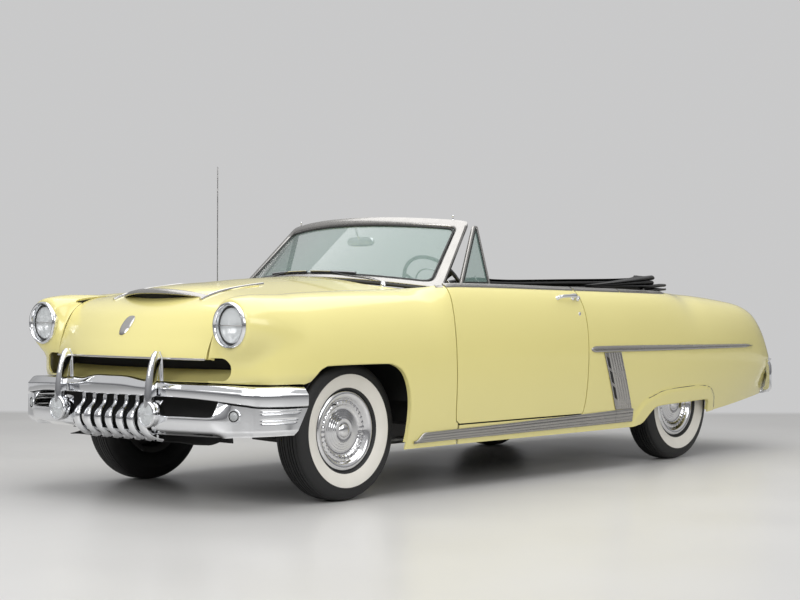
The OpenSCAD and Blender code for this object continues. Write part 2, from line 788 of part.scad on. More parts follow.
// A tyre's section: [radius, distance out from its middle], round one side
TYRE = [
    [202, 62], [214, 74], [245, 87], [280, 90], [308, 86], [330, 76], [341, 62], [345, 40], [345, 0]
];
module tyre() {
    half_w = tyre_w / 2;
    scale_w = half_w / 90;
    side = [for (p = TYRE) [p[0] * tyre_r / 345, p[1] * scale_w]];
    inner = [for (i = [len(side) - 2 : -1 : 0]) [side[i][0], -side[i][1]]];
    color(rubber) rotate([0, 90, 0]) rotate_extrude() polygon(concat(side, inner));
}
module wheel() {
    color(chrome) rotate([0, 90, 0]) rotate_extrude() polygon([
        [0, 66], [40, 66], [60, 44], [110, 40], [150, 58], [180, 62], [194, 70], [200, 70],
        [200, 62], [172, 56], [168, 10], [172, -56], [200, -62], [200, -70], [165, -66], [158, -10],
        [158, 20], [60, 10], [0, 10]]);
}

module at_wheel(track, y) {
    placed() translate([track / 2, y, tyre_r]) children();
}
module at_wheel_right(track, y) {
    right_hand() at_wheel(track, y) children();
}
module tyre_front_left() { at_wheel(front_track, front_axle) tyre(); }
module tyre_front_right() { at_wheel_right(front_track, front_axle) tyre(); }
module tyre_rear_left() { at_wheel(rear_track, rear_axle) tyre(); }
module tyre_rear_right() { at_wheel_right(rear_track, rear_axle) tyre(); }
module wheel_front_left() { at_wheel(front_track, front_axle) wheel(); }
module wheel_front_right() { at_wheel_right(front_track, front_axle) wheel(); }
module wheel_rear_left() { at_wheel(rear_track, rear_axle) wheel(); }
module wheel_rear_right() { at_wheel_right(rear_track, rear_axle) wheel(); }

frame();
floor();
rockers();
cowl();
front_fender_left();
front_fender_right();
radiator();
front_bumper();
bumper_guards();
lower_grille();
headlamps();
windshield_frame();
windshield_glass();
rear_quarter_left();
rear_quarter_right();
rear_deck();
rear_bumper();
plate_bracket();
tail_lamps();
dashboard();
steering_column();
front_seat();
seat_back_left();
seat_back_right();
rear_seat();
folded_top();
engine();
rear_axle();
front_suspension();
exhaust();
fuel_tank();
aerial();
rear_view_mirror();
door_left();
door_right();
vent_window_left();
vent_window_right();
hood();
hood_scoop();
trunk_lid();
steering_wheel();
knuckle_left();
knuckle_right();
tyre_front_left();
tyre_front_right();
tyre_rear_left();
tyre_rear_right();
wheel_front_left();
wheel_front_right();
wheel_rear_left();
wheel_rear_right();
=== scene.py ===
"""A two-door convertible car of the early 1950s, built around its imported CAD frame.
Metres. The front faces -Y, the car's left side is +X and the floor is Z = 0."""
import json
import math
import bpy
import numpy as np
from mathutils import Matrix, Vector

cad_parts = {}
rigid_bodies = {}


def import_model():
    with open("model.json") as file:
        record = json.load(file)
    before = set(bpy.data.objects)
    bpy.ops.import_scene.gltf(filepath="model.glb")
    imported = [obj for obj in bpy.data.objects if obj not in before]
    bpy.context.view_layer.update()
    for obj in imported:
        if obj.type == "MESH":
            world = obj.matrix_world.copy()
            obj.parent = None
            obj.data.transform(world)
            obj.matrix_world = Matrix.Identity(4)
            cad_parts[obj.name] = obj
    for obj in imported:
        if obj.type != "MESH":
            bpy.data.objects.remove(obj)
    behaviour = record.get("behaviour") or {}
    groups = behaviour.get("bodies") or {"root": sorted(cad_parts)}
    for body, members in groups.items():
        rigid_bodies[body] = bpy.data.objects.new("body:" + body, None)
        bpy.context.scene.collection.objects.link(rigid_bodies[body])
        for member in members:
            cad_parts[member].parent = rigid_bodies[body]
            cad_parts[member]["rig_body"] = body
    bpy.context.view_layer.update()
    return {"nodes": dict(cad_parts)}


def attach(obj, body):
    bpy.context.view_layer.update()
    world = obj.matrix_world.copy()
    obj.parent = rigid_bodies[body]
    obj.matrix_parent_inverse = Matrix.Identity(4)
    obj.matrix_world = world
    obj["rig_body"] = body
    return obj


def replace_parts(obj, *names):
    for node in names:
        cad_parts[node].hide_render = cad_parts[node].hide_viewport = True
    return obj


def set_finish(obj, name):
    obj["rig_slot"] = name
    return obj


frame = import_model()
MID = -0.150  # the middle of the wheelbase, from the middle of the car
A = np.array


# ---------------------------------------------------------------- materials
def tree(name):
    m = bpy.data.materials.new(name)
    m.use_nodes = True
    t = m.node_tree
    return m, t, t.nodes["Principled BSDF"]


def node(t, kind, **sets):
    n = t.nodes.new(kind)
    for k, v in sets.items():
        if k in n.inputs:
            n.inputs[k].default_value = v
        else:
            setattr(n, k, v)
    return n


def finish(name, color, rough=0.4, metal=0.0, vary=0.06, grain=60.0, bump=0.0, fine=900.0,
           stretch=(1, 1, 1), rough_vary=0.05, **sockets):
    """A procedural finish: colour and roughness wander with a broad noise, and a fine one is the relief."""
    m, t, b = tree(name)
    m.diffuse_color = (*color, 1)
    where = node(t, "ShaderNodeTexCoord")
    scale = node(t, "ShaderNodeMapping")
    scale.inputs["Scale"].default_value = stretch
    t.links.new(where.outputs["Object"], scale.inputs["Vector"])
    broad = node(t, "ShaderNodeTexNoise", Scale=grain, Detail=3.0)
    t.links.new(scale.outputs[0], broad.inputs["Vector"])
    ramp = node(t, "ShaderNodeMixRGB")
    ramp.inputs[1].default_value = (*[c * (1 - vary) for c in color], 1)
    ramp.inputs[2].default_value = (*[min(c * (1 + vary), 1) for c in color], 1)
    t.links.new(broad.outputs["Fac"], ramp.inputs[0])
    t.links.new(ramp.outputs[0], b.inputs["Base Color"])
    r = node(t, "ShaderNodeMapRange")
    r.inputs["To Min"].default_value = max(rough - rough_vary, 0.01)
    r.inputs["To Max"].default_value = rough + rough_vary
    t.links.new(broad.outputs["Fac"], r.inputs["Value"])
    t.links.new(r.outputs[0], b.inputs["Roughness"])
    b.inputs["Metallic"].default_value = metal
    if bump:
        relief = node(t, "ShaderNodeTexNoise", Scale=fine, Detail=2.0)
        t.links.new(scale.outputs[0], relief.inputs["Vector"])
        bn = node(t, "ShaderNodeBump", Strength=bump, Distance=0.001)
        t.links.new(relief.outputs["Fac"], bn.inputs["Height"])
        t.links.new(bn.outputs[0], b.inputs["Normal"])
    for k, v in sockets.items():
        b.inputs[k.replace("_", " ")].default_value = v
    return m


PAINT = finish("paint_pale_yellow", (0.735, 0.662, 0.262), 0.24, vary=0.02, grain=2.0, bump=0.03, fine=260,
               Coat_Weight=0.7, Coat_Roughness=0.04)
CHROME = finish("chrome_plate", (0.80, 0.81, 0.83), 0.075, 1.0, vary=0.03, grain=7, rough_vary=0.03, bump=0.02,
                fine=40)
STEEL_TRIM = finish("stainless_trim", (0.40, 0.39, 0.375), 0.27, 1.0, vary=0.12, grain=30, bump=0.05, fine=220,
                    stretch=(1, 0.05, 1))
BRIGHT_TRIM = finish("bright_trim", (0.62, 0.61, 0.60), 0.16, 1.0, vary=0.06, grain=20)
RUBBER = finish("tyre_rubber", (0.009, 0.009, 0.0095), 0.55, vary=0.25, grain=40, bump=0.25, fine=1400)
WHITEWALL = finish("whitewall_rubber", (0.74, 0.715, 0.655), 0.5, vary=0.05, grain=14, bump=0.12, fine=900)
# Black rubber for the seals, pedals and valves; also painted shade as the dark line along the rear skirt's crease
RUBBER_AND_SHADE_LINE = finish("black_rubber_seal", (0.018, 0.018, 0.018), 0.5, vary=0.2, grain=90, bump=0.1)
BLACK = finish("black_plastic", (0.016, 0.015, 0.014), 0.18, vary=0.15, grain=60, Coat_Weight=0.5)
# Flat near-black: the own colour of the liners, pans, the firewall and the lamp's centre cup, and painted shade
# where it fills the nose opening, the scoop's mouth and slots
FLAT_BLACK_AND_SHADE = finish("flat_black_and_painted_shade", (0.012, 0.012, 0.012), 0.85, vary=0.4, grain=25)
CHASSIS = finish("chassis_black", (0.03, 0.029, 0.028), 0.5, vary=0.45, grain=22, bump=0.4, fine=160)
CAST = finish("cast_steel", (0.13, 0.125, 0.12), 0.55, 0.7, vary=0.45, grain=30, bump=0.7, fine=260)
HIDE = finish("black_hide", (0.028, 0.026, 0.025), 0.38, vary=0.25, grain=30, bump=0.55, fine=620)
HIDE_PALE = finish("pale_hide", (0.62, 0.545, 0.30), 0.42, vary=0.08, grain=18, bump=0.5, fine=620)
CARPET = finish("carpet_pile", (0.035, 0.033, 0.031), 0.95, vary=0.6, grain=420, bump=1.0, fine=1500)
LENS_RED = finish("red_lens", (0.42, 0.012, 0.01), 0.12, vary=0.25, grain=50, Coat_Weight=1.0)
TANK = finish("tank_tin", (0.30, 0.30, 0.29), 0.42, 0.9, vary=0.3, grain=35, bump=0.3, fine=120)


def cloth_finish(name, color, pitch):
    """Woven cloth: two crossed waves are the weave."""
    m, t, b = tree(name)
    m.diffuse_color = (*color, 1)
    where = node(t, "ShaderNodeTexCoord")
    total = None
    for axis in ("X", "Y", "Z"):
        w = node(t, "ShaderNodeTexWave", Scale=1.0 / pitch, Distortion=0.6)
        w.bands_direction = axis
        t.links.new(where.outputs["Object"], w.inputs["Vector"])
        if total is None:
            total = w.outputs["Fac"]
        else:
            add = node(t, "ShaderNodeMath", operation="ADD")
            t.links.new(total, add.inputs[0])
            t.links.new(w.outputs["Fac"], add.inputs[1])
            total = add.outputs[0]
    dust = node(t, "ShaderNodeTexNoise", Scale=18.0, Detail=4.0)
    t.links.new(where.outputs["Object"], dust.inputs["Vector"])
    mix = node(t, "ShaderNodeMixRGB")
    mix.inputs[1].default_value = (*[c * 0.7 for c in color], 1)
    mix.inputs[2].default_value = (*[c * 1.6 for c in color], 1)
    t.links.new(dust.outputs["Fac"], mix.inputs[0])
    t.links.new(mix.outputs[0], b.inputs["Base Color"])
    bn = node(t, "ShaderNodeBump", Strength=0.35, Distance=0.0006)
    t.links.new(total, bn.inputs["Height"])
    t.links.new(bn.outputs[0], b.inputs["Normal"])
    b.inputs["Roughness"].default_value = 0.82
    b.inputs["Sheen Weight"].default_value = 0.08
    return m


TOP_CLOTH = cloth_finish("top_canvas", (0.009, 0.009, 0.0095), 0.0025)


def glass_finish(name, color, alpha, rough=0.02):
    m = finish(name, color, rough, vary=0.04, grain=3, rough_vary=0.01, Coat_Weight=1.0, Coat_Roughness=0.01)
    m.node_tree.nodes["Principled BSDF"].inputs["Alpha"].default_value = alpha
    m.blend_method = "BLEND"
    return m


GLASS = glass_finish("green_glass", (0.17, 0.27, 0.24), 0.40)
LENS = glass_finish("lamp_glass", (0.86, 0.89, 0.90), 0.42, 0.06)


# ---------------------------------------------------------------- meshes
def piece(name, verts, faces, mat, body="car", slot=None, smooth=38.0):
    """A mesh object that rides on a body."""
    me = bpy.data.meshes.new(name)
    me.from_pydata([tuple(map(float, v)) for v in verts], [], [tuple(map(int, f)) for f in faces])
    me.validate()
    return dress(bpy.data.objects.new(name, me), mat, body, slot, smooth)


def dress(ob, mat, body="car", slot=None, smooth=38.0):
    if ob.name not in bpy.context.scene.collection.objects:
        bpy.context.scene.collection.objects.link(ob)
    ob.data.materials.clear()
    for m in (mat if isinstance(mat, (list, tuple)) else [mat]):
        ob.data.materials.append(m)
    shade(ob, smooth)
    if body:
        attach(ob, body)
    if slot:
        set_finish(ob, slot)
    return ob


def shade(ob, angle):
    me = ob.data
    me.polygons.foreach_set("use_smooth", [True] * len(me.polygons))
    me.set_sharp_from_angle(angle=math.radians(angle))
    me.update()


def grid_faces(n, m, wrap_i=False, wrap_j=False, start=0, flip=False):
    out = []
    for i in range(n if wrap_i else n - 1):
        for j in range(m if wrap_j else m - 1):
            a, b = start + i * m + j, start + i * m + (j + 1) % m
            c, d = start + ((i + 1) % n) * m + (j + 1) % m, start + ((i + 1) % n) * m + j
            out.append((d, c, b, a) if flip else (a, b, c, d))
    return out


def grid_normals(P):
    du = np.gradient(P, axis=0)
    dv = np.gradient(P, axis=1)
    n = np.cross(du, dv)
    return n / np.maximum(np.linalg.norm(n, axis=2, keepdims=True), 1e-12)


def shell_parts(P, thick):
    """A grid of points and its copy, thick behind it along the grid's normal, closed round the edge."""
    P = np.asarray(P, float)
    n, m = P.shape[:2]
    back = P - thick * grid_normals(P)
    verts = np.concatenate([P.reshape(-1, 3), back.reshape(-1, 3)])
    k = n * m
    faces = grid_faces(n, m) + grid_faces(n, m, start=k, flip=True)
    edge = [i * m for i in range(n)] + [(n - 1) * m + j for j in range(1, m)] \
        + [i * m + m - 1 for i in range(n - 2, -1, -1)] + list(range(m - 2, 0, -1))
    for a, b in zip(edge, edge[1:] + edge[:1]):
        faces.append((a, b, b + k, a + k))
    return verts, faces


def shell(name, P, thick, mat, **kw):
    v, f = shell_parts(P, thick)
    return piece(name, v, f, mat, **kw)


def loft_parts(rings, cap=True, wrap=False):
    R = np.asarray(rings, float)
    n, m = R.shape[:2]
    faces = grid_faces(n, m, wrap_i=wrap, wrap_j=True)
    if cap and not wrap:
        faces += [tuple(range(m))[::-1], tuple((n - 1) * m + j for j in range(m))]
    return R.reshape(-1, 3), faces


def loft(name, rings, mat, cap=True, wrap=False, **kw):
    v, f = loft_parts(rings, cap, wrap)
    return outward(piece(name, v, f, mat, **kw))


def outward(ob):
    """Turns a closed mesh's faces out."""
    me = ob.data
    me.calc_loop_triangles()
    co = A([v.co for v in me.vertices])
    tri = A([t.vertices for t in me.loop_triangles])
    p = co[tri]
    if np.einsum("ij,ij->i", p[:, 0], np.cross(p[:, 1], p[:, 2])).sum() < 0:
        me.flip_normals()
    return ob


def frames(path, up=(0, 0, 1), wrap=False):
    """Tangent, side and up at each point of a path, with up kept near a given direction."""
    P = np.asarray(path, float)
    if wrap:
        T = np.roll(P, -1, 0) - np.roll(P, 1, 0)
    else:
        T = np.gradient(P, axis=0)
    T /= np.linalg.norm(T, axis=1, keepdims=True)
    U = np.broadcast_to(np.asarray(up, float), P.shape).copy()
    U = U - T * np.einsum("ij,ij->i", U, T)[:, None]
    small = np.linalg.norm(U, axis=1) < 1e-3
    U[small] = np.cross(T[small], [1, 0, 0.01])
    U /= np.linalg.norm(U, axis=1, keepdims=True)
    return T, np.cross(T, U), U


def sweep(name, path, section, mat, up=(0, 0, 1), wrap=False, scale=None, **kw):
    """A closed 2D section, in (side, up), carried along a path."""
    P = np.asarray(path, float)
    _, S, U = frames(P, up, wrap)
    sec = np.asarray(section, float)
    k = np.ones((len(P), 2)) if scale is None else np.asarray(
        scale, float).reshape(len(P), -1) * np.ones((1, 2))
    R = P[:, None] + S[:, None] * (sec[None, :, :1] * k[:, None, :1]) + \
    U[:, None] * (sec[None, :, 1:] * k[:, None, 1:])
    return loft(name, R, mat, wrap=wrap, **kw)


def ring(r, n=12, squash=1.0, start=0.0):
    return [(r * math.cos(start + 2 * math.pi * k / n), r * squash * math.sin(start + 2 * math.pi * k / n))
            for k in range(n)]


def tube(name, path, r, mat, n=12, **kw):
    return sweep(name, path, ring(r, n), mat, **kw)


def smooth_path(points, n):
    """A Catmull-Rom curve through some points."""
    P = np.asarray(points, float)
    return np.array([row(P, s) for s in np.linspace(0, len(P) - 1, n)])


def turn(name, profile, centre, axis, mat, n=64, **kw):
    """A profile of (radius, height) turned round an axis, closed where its radius is zero."""
    a = Vector(axis).normalized()
    side = a.orthogonal().normalized()
    if abs(a.x) > 0.9:
        side = Vector((0, 0, 1))
    third = a.cross(side)
    c = Vector(centre)
    rings = []
    for r, h in profile:
        r = max(r, 1e-5)
        rings.append([c + a * h + side * (r * math.cos(2 * math.pi * k / n))
                      + third * (r * math.sin(2 * math.pi * k / n))
                      for k in range(n)])
    return loft(name, rings, mat, **kw)


def mesh_of(ob):
    """The mesh of an object with its modifiers applied."""
    deps = bpy.context.evaluated_depsgraph_get()
    return bpy.data.meshes.new_from_object(ob.evaluated_get(deps), depsgraph=deps)


def combine(ob, other, how="DIFFERENCE", keep=False):
    """A boolean with another object, applied."""
    mod = ob.modifiers.new("cut", "BOOLEAN")
    mod.operation = how
    mod.solver = "MANIFOLD"
    mod.object = other
    bpy.context.view_layer.update()
    me = mesh_of(ob)
    ob.modifiers.clear()
    ob.data = me
    if not keep:
        bpy.data.objects.remove(other)
    return ob


def loose(verts, faces, name="tool"):
    me = bpy.data.meshes.new(name)
    me.from_pydata([tuple(map(float, v)) for v in verts], [], [tuple(map(int, f)) for f in faces])
    ob = bpy.data.objects.new(name, me)
    bpy.context.scene.collection.objects.link(ob)
    return outward(ob)


def prism(outline, x0, x1):
    """An outline in the side view, (y, z), as a block between two x."""
    n = len(outline)
    v = [(x, y, z) for x in (x0, x1) for y, z in outline]
    f = [tuple(range(n))[::-1], tuple(range(n, 2 * n))] + \
    [(i, (i + 1) % n, n + (i + 1) % n, n + i) for i in range(n)]
    return loose(v, f)


def box_tool(a, b):
    return prism([(a[1], a[2]), (b[1], a[2]), (b[1], b[2]), (a[1], b[2])], a[0], b[0])


def mirrored(ob, name, body="car", slot=None):
    """The right-hand copy of a left-hand piece."""
    me = ob.data.copy()
    co = np.empty(len(me.vertices) * 3)
    me.vertices.foreach_get("co", co)
    co[::3] *= -1
    me.vertices.foreach_set("co", co)
    me.flip_normals()
    new = bpy.data.objects.new(name, me)
    bpy.context.scene.collection.objects.link(new)
    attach(new, body)
    if slot or "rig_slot" in ob:
        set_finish(new, slot or ob["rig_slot"])
    return new


def join(obs, name):
    """Several pieces of one body and material list as one."""
    first = obs[0]
    mats, verts, faces, which, smooth = [], [], [], [], []
    sharp = set()
    for o in obs:
        base = len(verts)
        verts += [tuple(v.co) for v in o.data.vertices]
        slots = []
        for m in o.data.materials:
            if m not in mats:
                mats.append(m)
            slots.append(mats.index(m))
        for p in o.data.polygons:
            faces.append(tuple(base + i for i in p.vertices))
            which.append(slots[min(p.material_index, len(slots) - 1)])
        for e in o.data.edges:
            if e.use_edge_sharp:
                sharp.add((base + e.vertices[0], base + e.vertices[1]))
    me = bpy.data.meshes.new(name)
    me.from_pydata(verts, [], faces)
    for m in mats:
        me.materials.append(m)
    me.polygons.foreach_set("material_index", which)
    me.polygons.foreach_set("use_smooth", [True] * len(faces))
    attribute = me.attributes.new("sharp_edge", "BOOLEAN", "EDGE")
    attribute.data.foreach_set("value", [(e.vertices[0], e.vertices[1]) in sharp or (e.vertices[1],
            e.vertices[0]) in sharp
                                         for e in me.edges])
    me.update()
    new = bpy.data.objects.new(name, me)
    bpy.context.scene.collection.objects.link(new)
    body, slot = first["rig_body"], first.get("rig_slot")
    for o in obs:
        bpy.data.objects.remove(o)
    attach(new, body)
    if slot:
        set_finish(new, slot)
    return new


def row(table, s):
    """The row of a table at a fractional place, along a Catmull-Rom curve."""
    T = np.asarray(table, float)
    n = len(T)
    i = int(min(max(math.floor(s), 0), n - 2))
    t = s - i
    a, b, c, d = T[max(i - 1, 0)], T[i], T[i + 1], T[min(i + 2, n - 1)]
    return b + 0.5 * t * (c - a + t * (2 * a - 5 * b + 4 * c - d + t * (3 * (b - c) + d - a)))


def bezier(a, b, c, d, t):
    u = 1 - t
    return u * u * u * a + 3 * u * u * t * b + 3 * u * t * t * c + t * t * t * d


def placed(p):
    """Table millimetres, from the middle of the wheelbase, to metres in the car's frame."""
    return A([p[0], p[1], p[2]]) / 1000 + A([0, MID, 0])


def step(x, lo, hi):
    t = min(max((x - lo) / (hi - lo), 0.0), 1.0)
    return t * t * (3 - 2 * t)


# ---------------------------------------------------------------- body side
SIDE = [
    [583, -2198, 601, -2035, 4, 596, 640, 800, 70, 930, 968],
    [690, -2172, 606, -2030, 6, 594, 640, 870, 30, 975, 978],
    [795, -2120, 610, -2020, 8, 592, 640, 885, 30, 1005, 986],
    [872, -2030, 614, -1985, 10, 590, 640, 900, 40, 1026, 992],
    [908, -1890, 617, -1890, 14, 590, 640, 905, 56, 1040, 1002],
    [922, -1700, 620, -1700, 20, 588, 640, 915, 70, 1055, 1016],
    [928, -1400, 620, -1400, 26, 240, 640, 925, 72, 1068, 1028],
    [929, -1150, 621, -1150, 30, 238, 640, 930, 72, 1075, 1034],
    [928, -980, 626, -980, 32, 238, 640, 933, 72, 1078, 1040],
    [927, -880, 740, -880, 34, 238, 640, 936, 60, 1070, 1052],
    [926, -800, 815, -800, 35, 238, 640, 938, 46, 1058, 1066],
    [926, -650, 815, -650, 36, 238, 640, 938, 46, 1056, 1070],
    [925, -300, 814, -300, 36, 238, 640, 937, 46, 1052, 1068],
    [924, 100, 812, 100, 36, 238, 640, 935, 46, 1044, 1062],
    [923, 500, 808, 500, 36, 238, 640, 932, 46, 1038, 1056],
    [920, 900, 800, 900, 36, 240, 640, 928, 46, 1032, 1050],
    [916, 1200, 790, 1200, 38, 246, 640, 922, 48, 1028, 1044],
    [911, 1400, 745, 1400, 42, 256, 640, 914, 60, 1030, 1040],
    [904, 1580, 650, 1580, 46, 270, 640, 904, 80, 1034, 1034],
    [893, 1780, 620, 1780, 50, 288, 640, 925, 90, 1038, 1024],
    [873, 2050, 618, 2050, 54, 312, 640, 930, 86, 1018, 1002],
    [846, 2300, 612, 2300, 56, 336, 630, 930, 70, 998, 966],
    [818, 2480, 606, 2480, 56, 352, 620, 905, 64, 950, 930],
    [786, 2620, 602, 2620, 50, 362, 610, 845, 88, 902, 900],
    [762, 2688, 600, 2688, 44, 364, 600, 790, 90, 870, 882],
]
HOOD = [
    [-1075, 1115, 613, -990, 1040], [-1200, 1110, 613, -1150, 1036], [-1450, 1094, 613, -1400, 1028],
    [-1700, 1068, 612, -1660, 1016], [-1900, 1034, 609, -1860, 1003], [-2050, 985, 603, -1985, 984],
    [-2150, 928, 595, -2075, 944], [-2212, 862, 584, -2133, 876], [-2262, 788, 577, -2172, 795],
    [-2290, 740, 574, -2192, 742], [-2302, 712, 574, -2200, 708],
]
TRUNK = [
    [1690, 1056, 610, 1690, 1034], [1850, 1050, 610, 1850, 1022], [2050, 1028, 608, 2045, 1000],
    [2230, 992, 604, 2222, 972], [2380, 938, 598, 2370, 930], [2480, 872, 592, 2465, 870],
    [2545, 790, 586, 2528, 790], [2580, 700, 582, 2560, 700], [2594, 628, 580, 2574, 628],
]
FENDER_END, BELT_START, QUARTER_START, TAIL = 10.3, 9.0, 13.5, 24.0
LAMP = placed((726, -2186, 865))
# The raised edge of the skirt over the rear wheel, (y, z)
SKIRT = [(-1.2, 0.20), (0.66, 0.20), (0.72, 0.31), (0.80, 0.375), (0.90, 0.418), (1.05, 0.446), (1.30, 0.458),
         (1.52, 0.455), (1.60, 0.436), (1.66, 0.39), (1.69, 0.30), (1.69, 0.1)]


def tail_lean(s, z):
    k = -0.36 if z > 600 else 0.22
    return min(max((s - 20) / 4, 0), 1) ** 2 * k * (z - 600)


def side_mm(s, t):
    """A point of the side at rib s; t runs from 0 (bottom edge) through 1 (widest) to 2 (top)."""
    r = row(SIDE, s)
    m, top = r[0:2], r[2:4]
    reach = np.linalg.norm(top - m)
    rise = r[6] - r[5]
    if t <= 1:
        q = bezier(A([r[4], r[5]]), A([r[4] / 2, r[5] + 0.3 * rise]),
                   A([0, r[6] - 0.35 * rise]), A([0, r[6]]), t)
    else:
        q = bezier(A([0, r[6]]), A([0, r[7]]), A([r[8], r[9]]), A([reach, r[10]]), t - 1)
    p = m + (top - m) * q[0] / reach
    return A([p[0], p[1] + tail_lean(s, q[1]), q[1]])


def skirt_lift(p):
    """How far the skirt stands out of the side, in metres."""
    y, z = p[1], p[2]
    if y < 0.5 or z > 0.6:
        return 0.0
    ys, zs = [q[0] for q in SKIRT], [q[1] for q in SKIRT]
    edge = np.interp(y, ys[:-2], zs[:-2])
    side = np.interp(z, [0.2, 0.30, 0.39, 0.436, 0.455], [1.695, 1.69, 1.66, 1.60, 1.52])
    k = step(edge - z, -0.006, 0.012) * step(side - y, -0.006, 0.014) * step(y, 0.60, 0.72)
    return 0.009 * k


def side(s, t):
    p = placed(side_mm(s, t))
    if s < 4.2 and t > 0.7:
        # The nose swells forwards into a round pod for the headlamp.
        r = math.hypot(p[0] - LAMP[0], p[2] - LAMP[2])
        k = (1 - step(r, 0.112, 0.190)) * step(s, 0.0, 0.75)
        p[1] += k * (LAMP[1] - p[1])
    p[0] += skirt_lift(p)
    return p


def side_grid(s0, s1, ns, nt):
    return A([[side(s, t) for t in np.linspace(0, 2, nt)] for s in np.linspace(s0, s1, ns)])


RIBS, RISE = np.linspace(4, 24, 321), np.linspace(0, 2, 121)
SURFACE = A([[side(s, t) for t in RISE] for s in RIBS])


def side_at(y, z, lift=0.0):
    """The point of the side at a place in the side view, behind the nose, and its outward normal."""
    s = np.interp(y - MID, [r[1] / 1000 for r in SIDE[4:]], range(4, 25))
    for _ in range(6):
        k = min((s - 4) * 16, 319.999)
        i, f = int(k), k - int(k)
        line = SURFACE[i] * (1 - f) + SURFACE[i + 1] * f
        t = np.interp(z, line[:, 2], RISE)
        s = min(max(s + (y - np.interp(t, RISE, line[:, 1])) / 0.2 * 0.8, 4), 24)
    p = A([np.interp(t, RISE, line[:, c]) for c in range(3)])
    n = np.cross(side(min(s + .02, 24), t) - side(s - .02, t), side(s, min(t + .01, 2)) - side(s, t - .01))
    n /= np.linalg.norm(n)
    return p + n * lift, n


def offset(outline, d):
    """An outline grown by d."""
    P = A(outline, float)
    a, b = P - np.roll(P, 1, 0), np.roll(P, -1, 0) - P
    na = A([a[:, 1], -a[:, 0]]).T / np.linalg.norm(a, axis=1)[:, None]
    nb = A([b[:, 1], -b[:, 0]]).T / np.linalg.norm(b, axis=1)[:, None]
    area = np.sum(P[:, 0] * np.roll(P[:, 1], -1) - np.roll(P[:, 0], -1) * P[:, 1])
    n = na + nb
    n /= np.maximum(np.einsum("ij,ij->i", n, na), 0.3)[:, None]
    return P + n * d * (1 if area > 0 else -1)


def curve2(points, n):
    return [tuple(p) for p in smooth_path(points, n)]


def yz(points):
    return [(y / 1000 + MID, z / 1000) for y, z in points]


DOOR_FRONT = yz([(-789, 1100), (-797, 900), (-793, 700), (-783, 400), (-767, 357), (-752, 345)])
DOOR_REAR = yz([(321, 345), (336, 355), (354, 450), (366, 700), (362, 880), (344, 1000), (326, 1100)])
DOOR = curve2(DOOR_FRONT, 26) + curve2(DOOR_REAR, 34)
FRONT_ARCH = [(-2.035, 0.0)] + curve2(yz([(-1878, 400), (-1866, 500), (-1846, 575), (-1808, 636), (-1760, 668),
                                          (-1690, 676), (-1350, 676), (-1280, 668), (-1220,
                                                                                     640), (-1180, 590), (-1155,
                                                                                             520), (-1146, 440),
                                                                                             (-1152, 330),
                                          (-1168, 250)]), 70) + [(-1.33, 0.0)]
REAR_ARCH = [(0.695, 0.0), (0.698, 0.238)] + curve2(yz([(860, 240), (905, 246), (965, 268), (1020, 310), (1075,
        345),
                                                        (1150, 358), (1420, 366), (1690, 371), (1728, 362),
                                                        (1742, 335), (1745, 300)]), 60) + [(1.596, 0.0)]


def cut_side(ob, outline, x0=0.60, x1=1.0):
    return combine(ob, prism(outline, x0, x1))


def raw_shell(P, thick):
    v, f = shell_parts(P, thick)
    return loose(v, f)


SKIN = 0.010
fender = raw_shell(side_grid(0, FENDER_END, 190, 52), SKIN)
cut_side(fender, FRONT_ARCH)
cut_side(fender, offset(DOOR, 0.008), 0.70)
lamp_hole = loose(*loft_parts([[(LAMP[0] + 0.098 * math.cos(a), y, LAMP[2] + 0.098 * math.sin(a))
                                for a in np.linspace(0, 2 * math.pi, 64, endpoint=False)] for y in (-2.6,
                                        -2.17)]))
combine(fender, lamp_hole)
opening = []
for cx, cz, a in ((0.66, 0.662, 0), (0.20, 0.662, 90), (0.20, 0.655, 180), (0.66, 0.655, 270)):
    opening += [(cx + 0.05 * math.cos(math.radians(a + d)), cz + 0.05 * math.sin(math.radians(a + d)))
                for d in range(0, 91, 10)]
combine(fender, loose(*loft_parts([[(x, y, z) for x, z in opening] for y in (-2.19, -2.6)])))
fender.name = "fender_skin_left"
dress(fender, PAINT, slot="paint")
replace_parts(fender, "front_fender_left")
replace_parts(mirrored(fender, "fender_skin_right"), "front_fender_right")


def flange(outline, depth=0.022):
    """The turned-in edge of a wheel opening, following the side."""
    rings = []
    for y, z in outline:
        p = side_at(y, max(z, 0.245))[0]
        rings.append([p + A([-0.001, 0, 0]), p + A([-depth, 0, 0])])
    return raw_shell(A(rings), 0.0035)


arch_lip = flange([q for q in offset(FRONT_ARCH, -0.0005) if q[1] > 0.26])
arch_lip.name = "front_arch_lip_left"
dress(arch_lip, PAINT, slot="paint")
mirrored(arch_lip, "front_arch_lip_right")
arch_lip = flange([q for q in offset(REAR_ARCH, -0.0005) if q[1] > 0.25 and q[0] > 0.72])
arch_lip.name = "rear_arch_lip_left"
dress(arch_lip, PAINT, slot="paint")
mirrored(arch_lip, "rear_arch_lip_right")

# Doors: a skin, and a thick inside
belt = side_grid(BELT_START, 16, 170, 52)
door = combine(raw_shell(belt, SKIN), prism(DOOR, 0.70, 1.0), "INTERSECT")
door.name = "door_skin_left"
dress(door, PAINT, "door_left", "paint")
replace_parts(door, "door_left")
inner = offset(DOOR, -0.016)
core = combine(raw_shell(side_grid(BELT_START, 16, 90, 36) - A([0.0095, 0, 0]), 0.062),
               prism([(y, min(z, 1.046)) for y, z in inner], 0.70, 1.0), "INTERSECT")
core.name = "door_core_left"
dress(core, PAINT, "door_left", "paint")
for ob, name in ((door, "door_skin_right"), (core, "door_core_right")):
    new = mirrored(ob, name, "door_right")
    if name == "door_skin_right":
        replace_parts(new, "door_right")

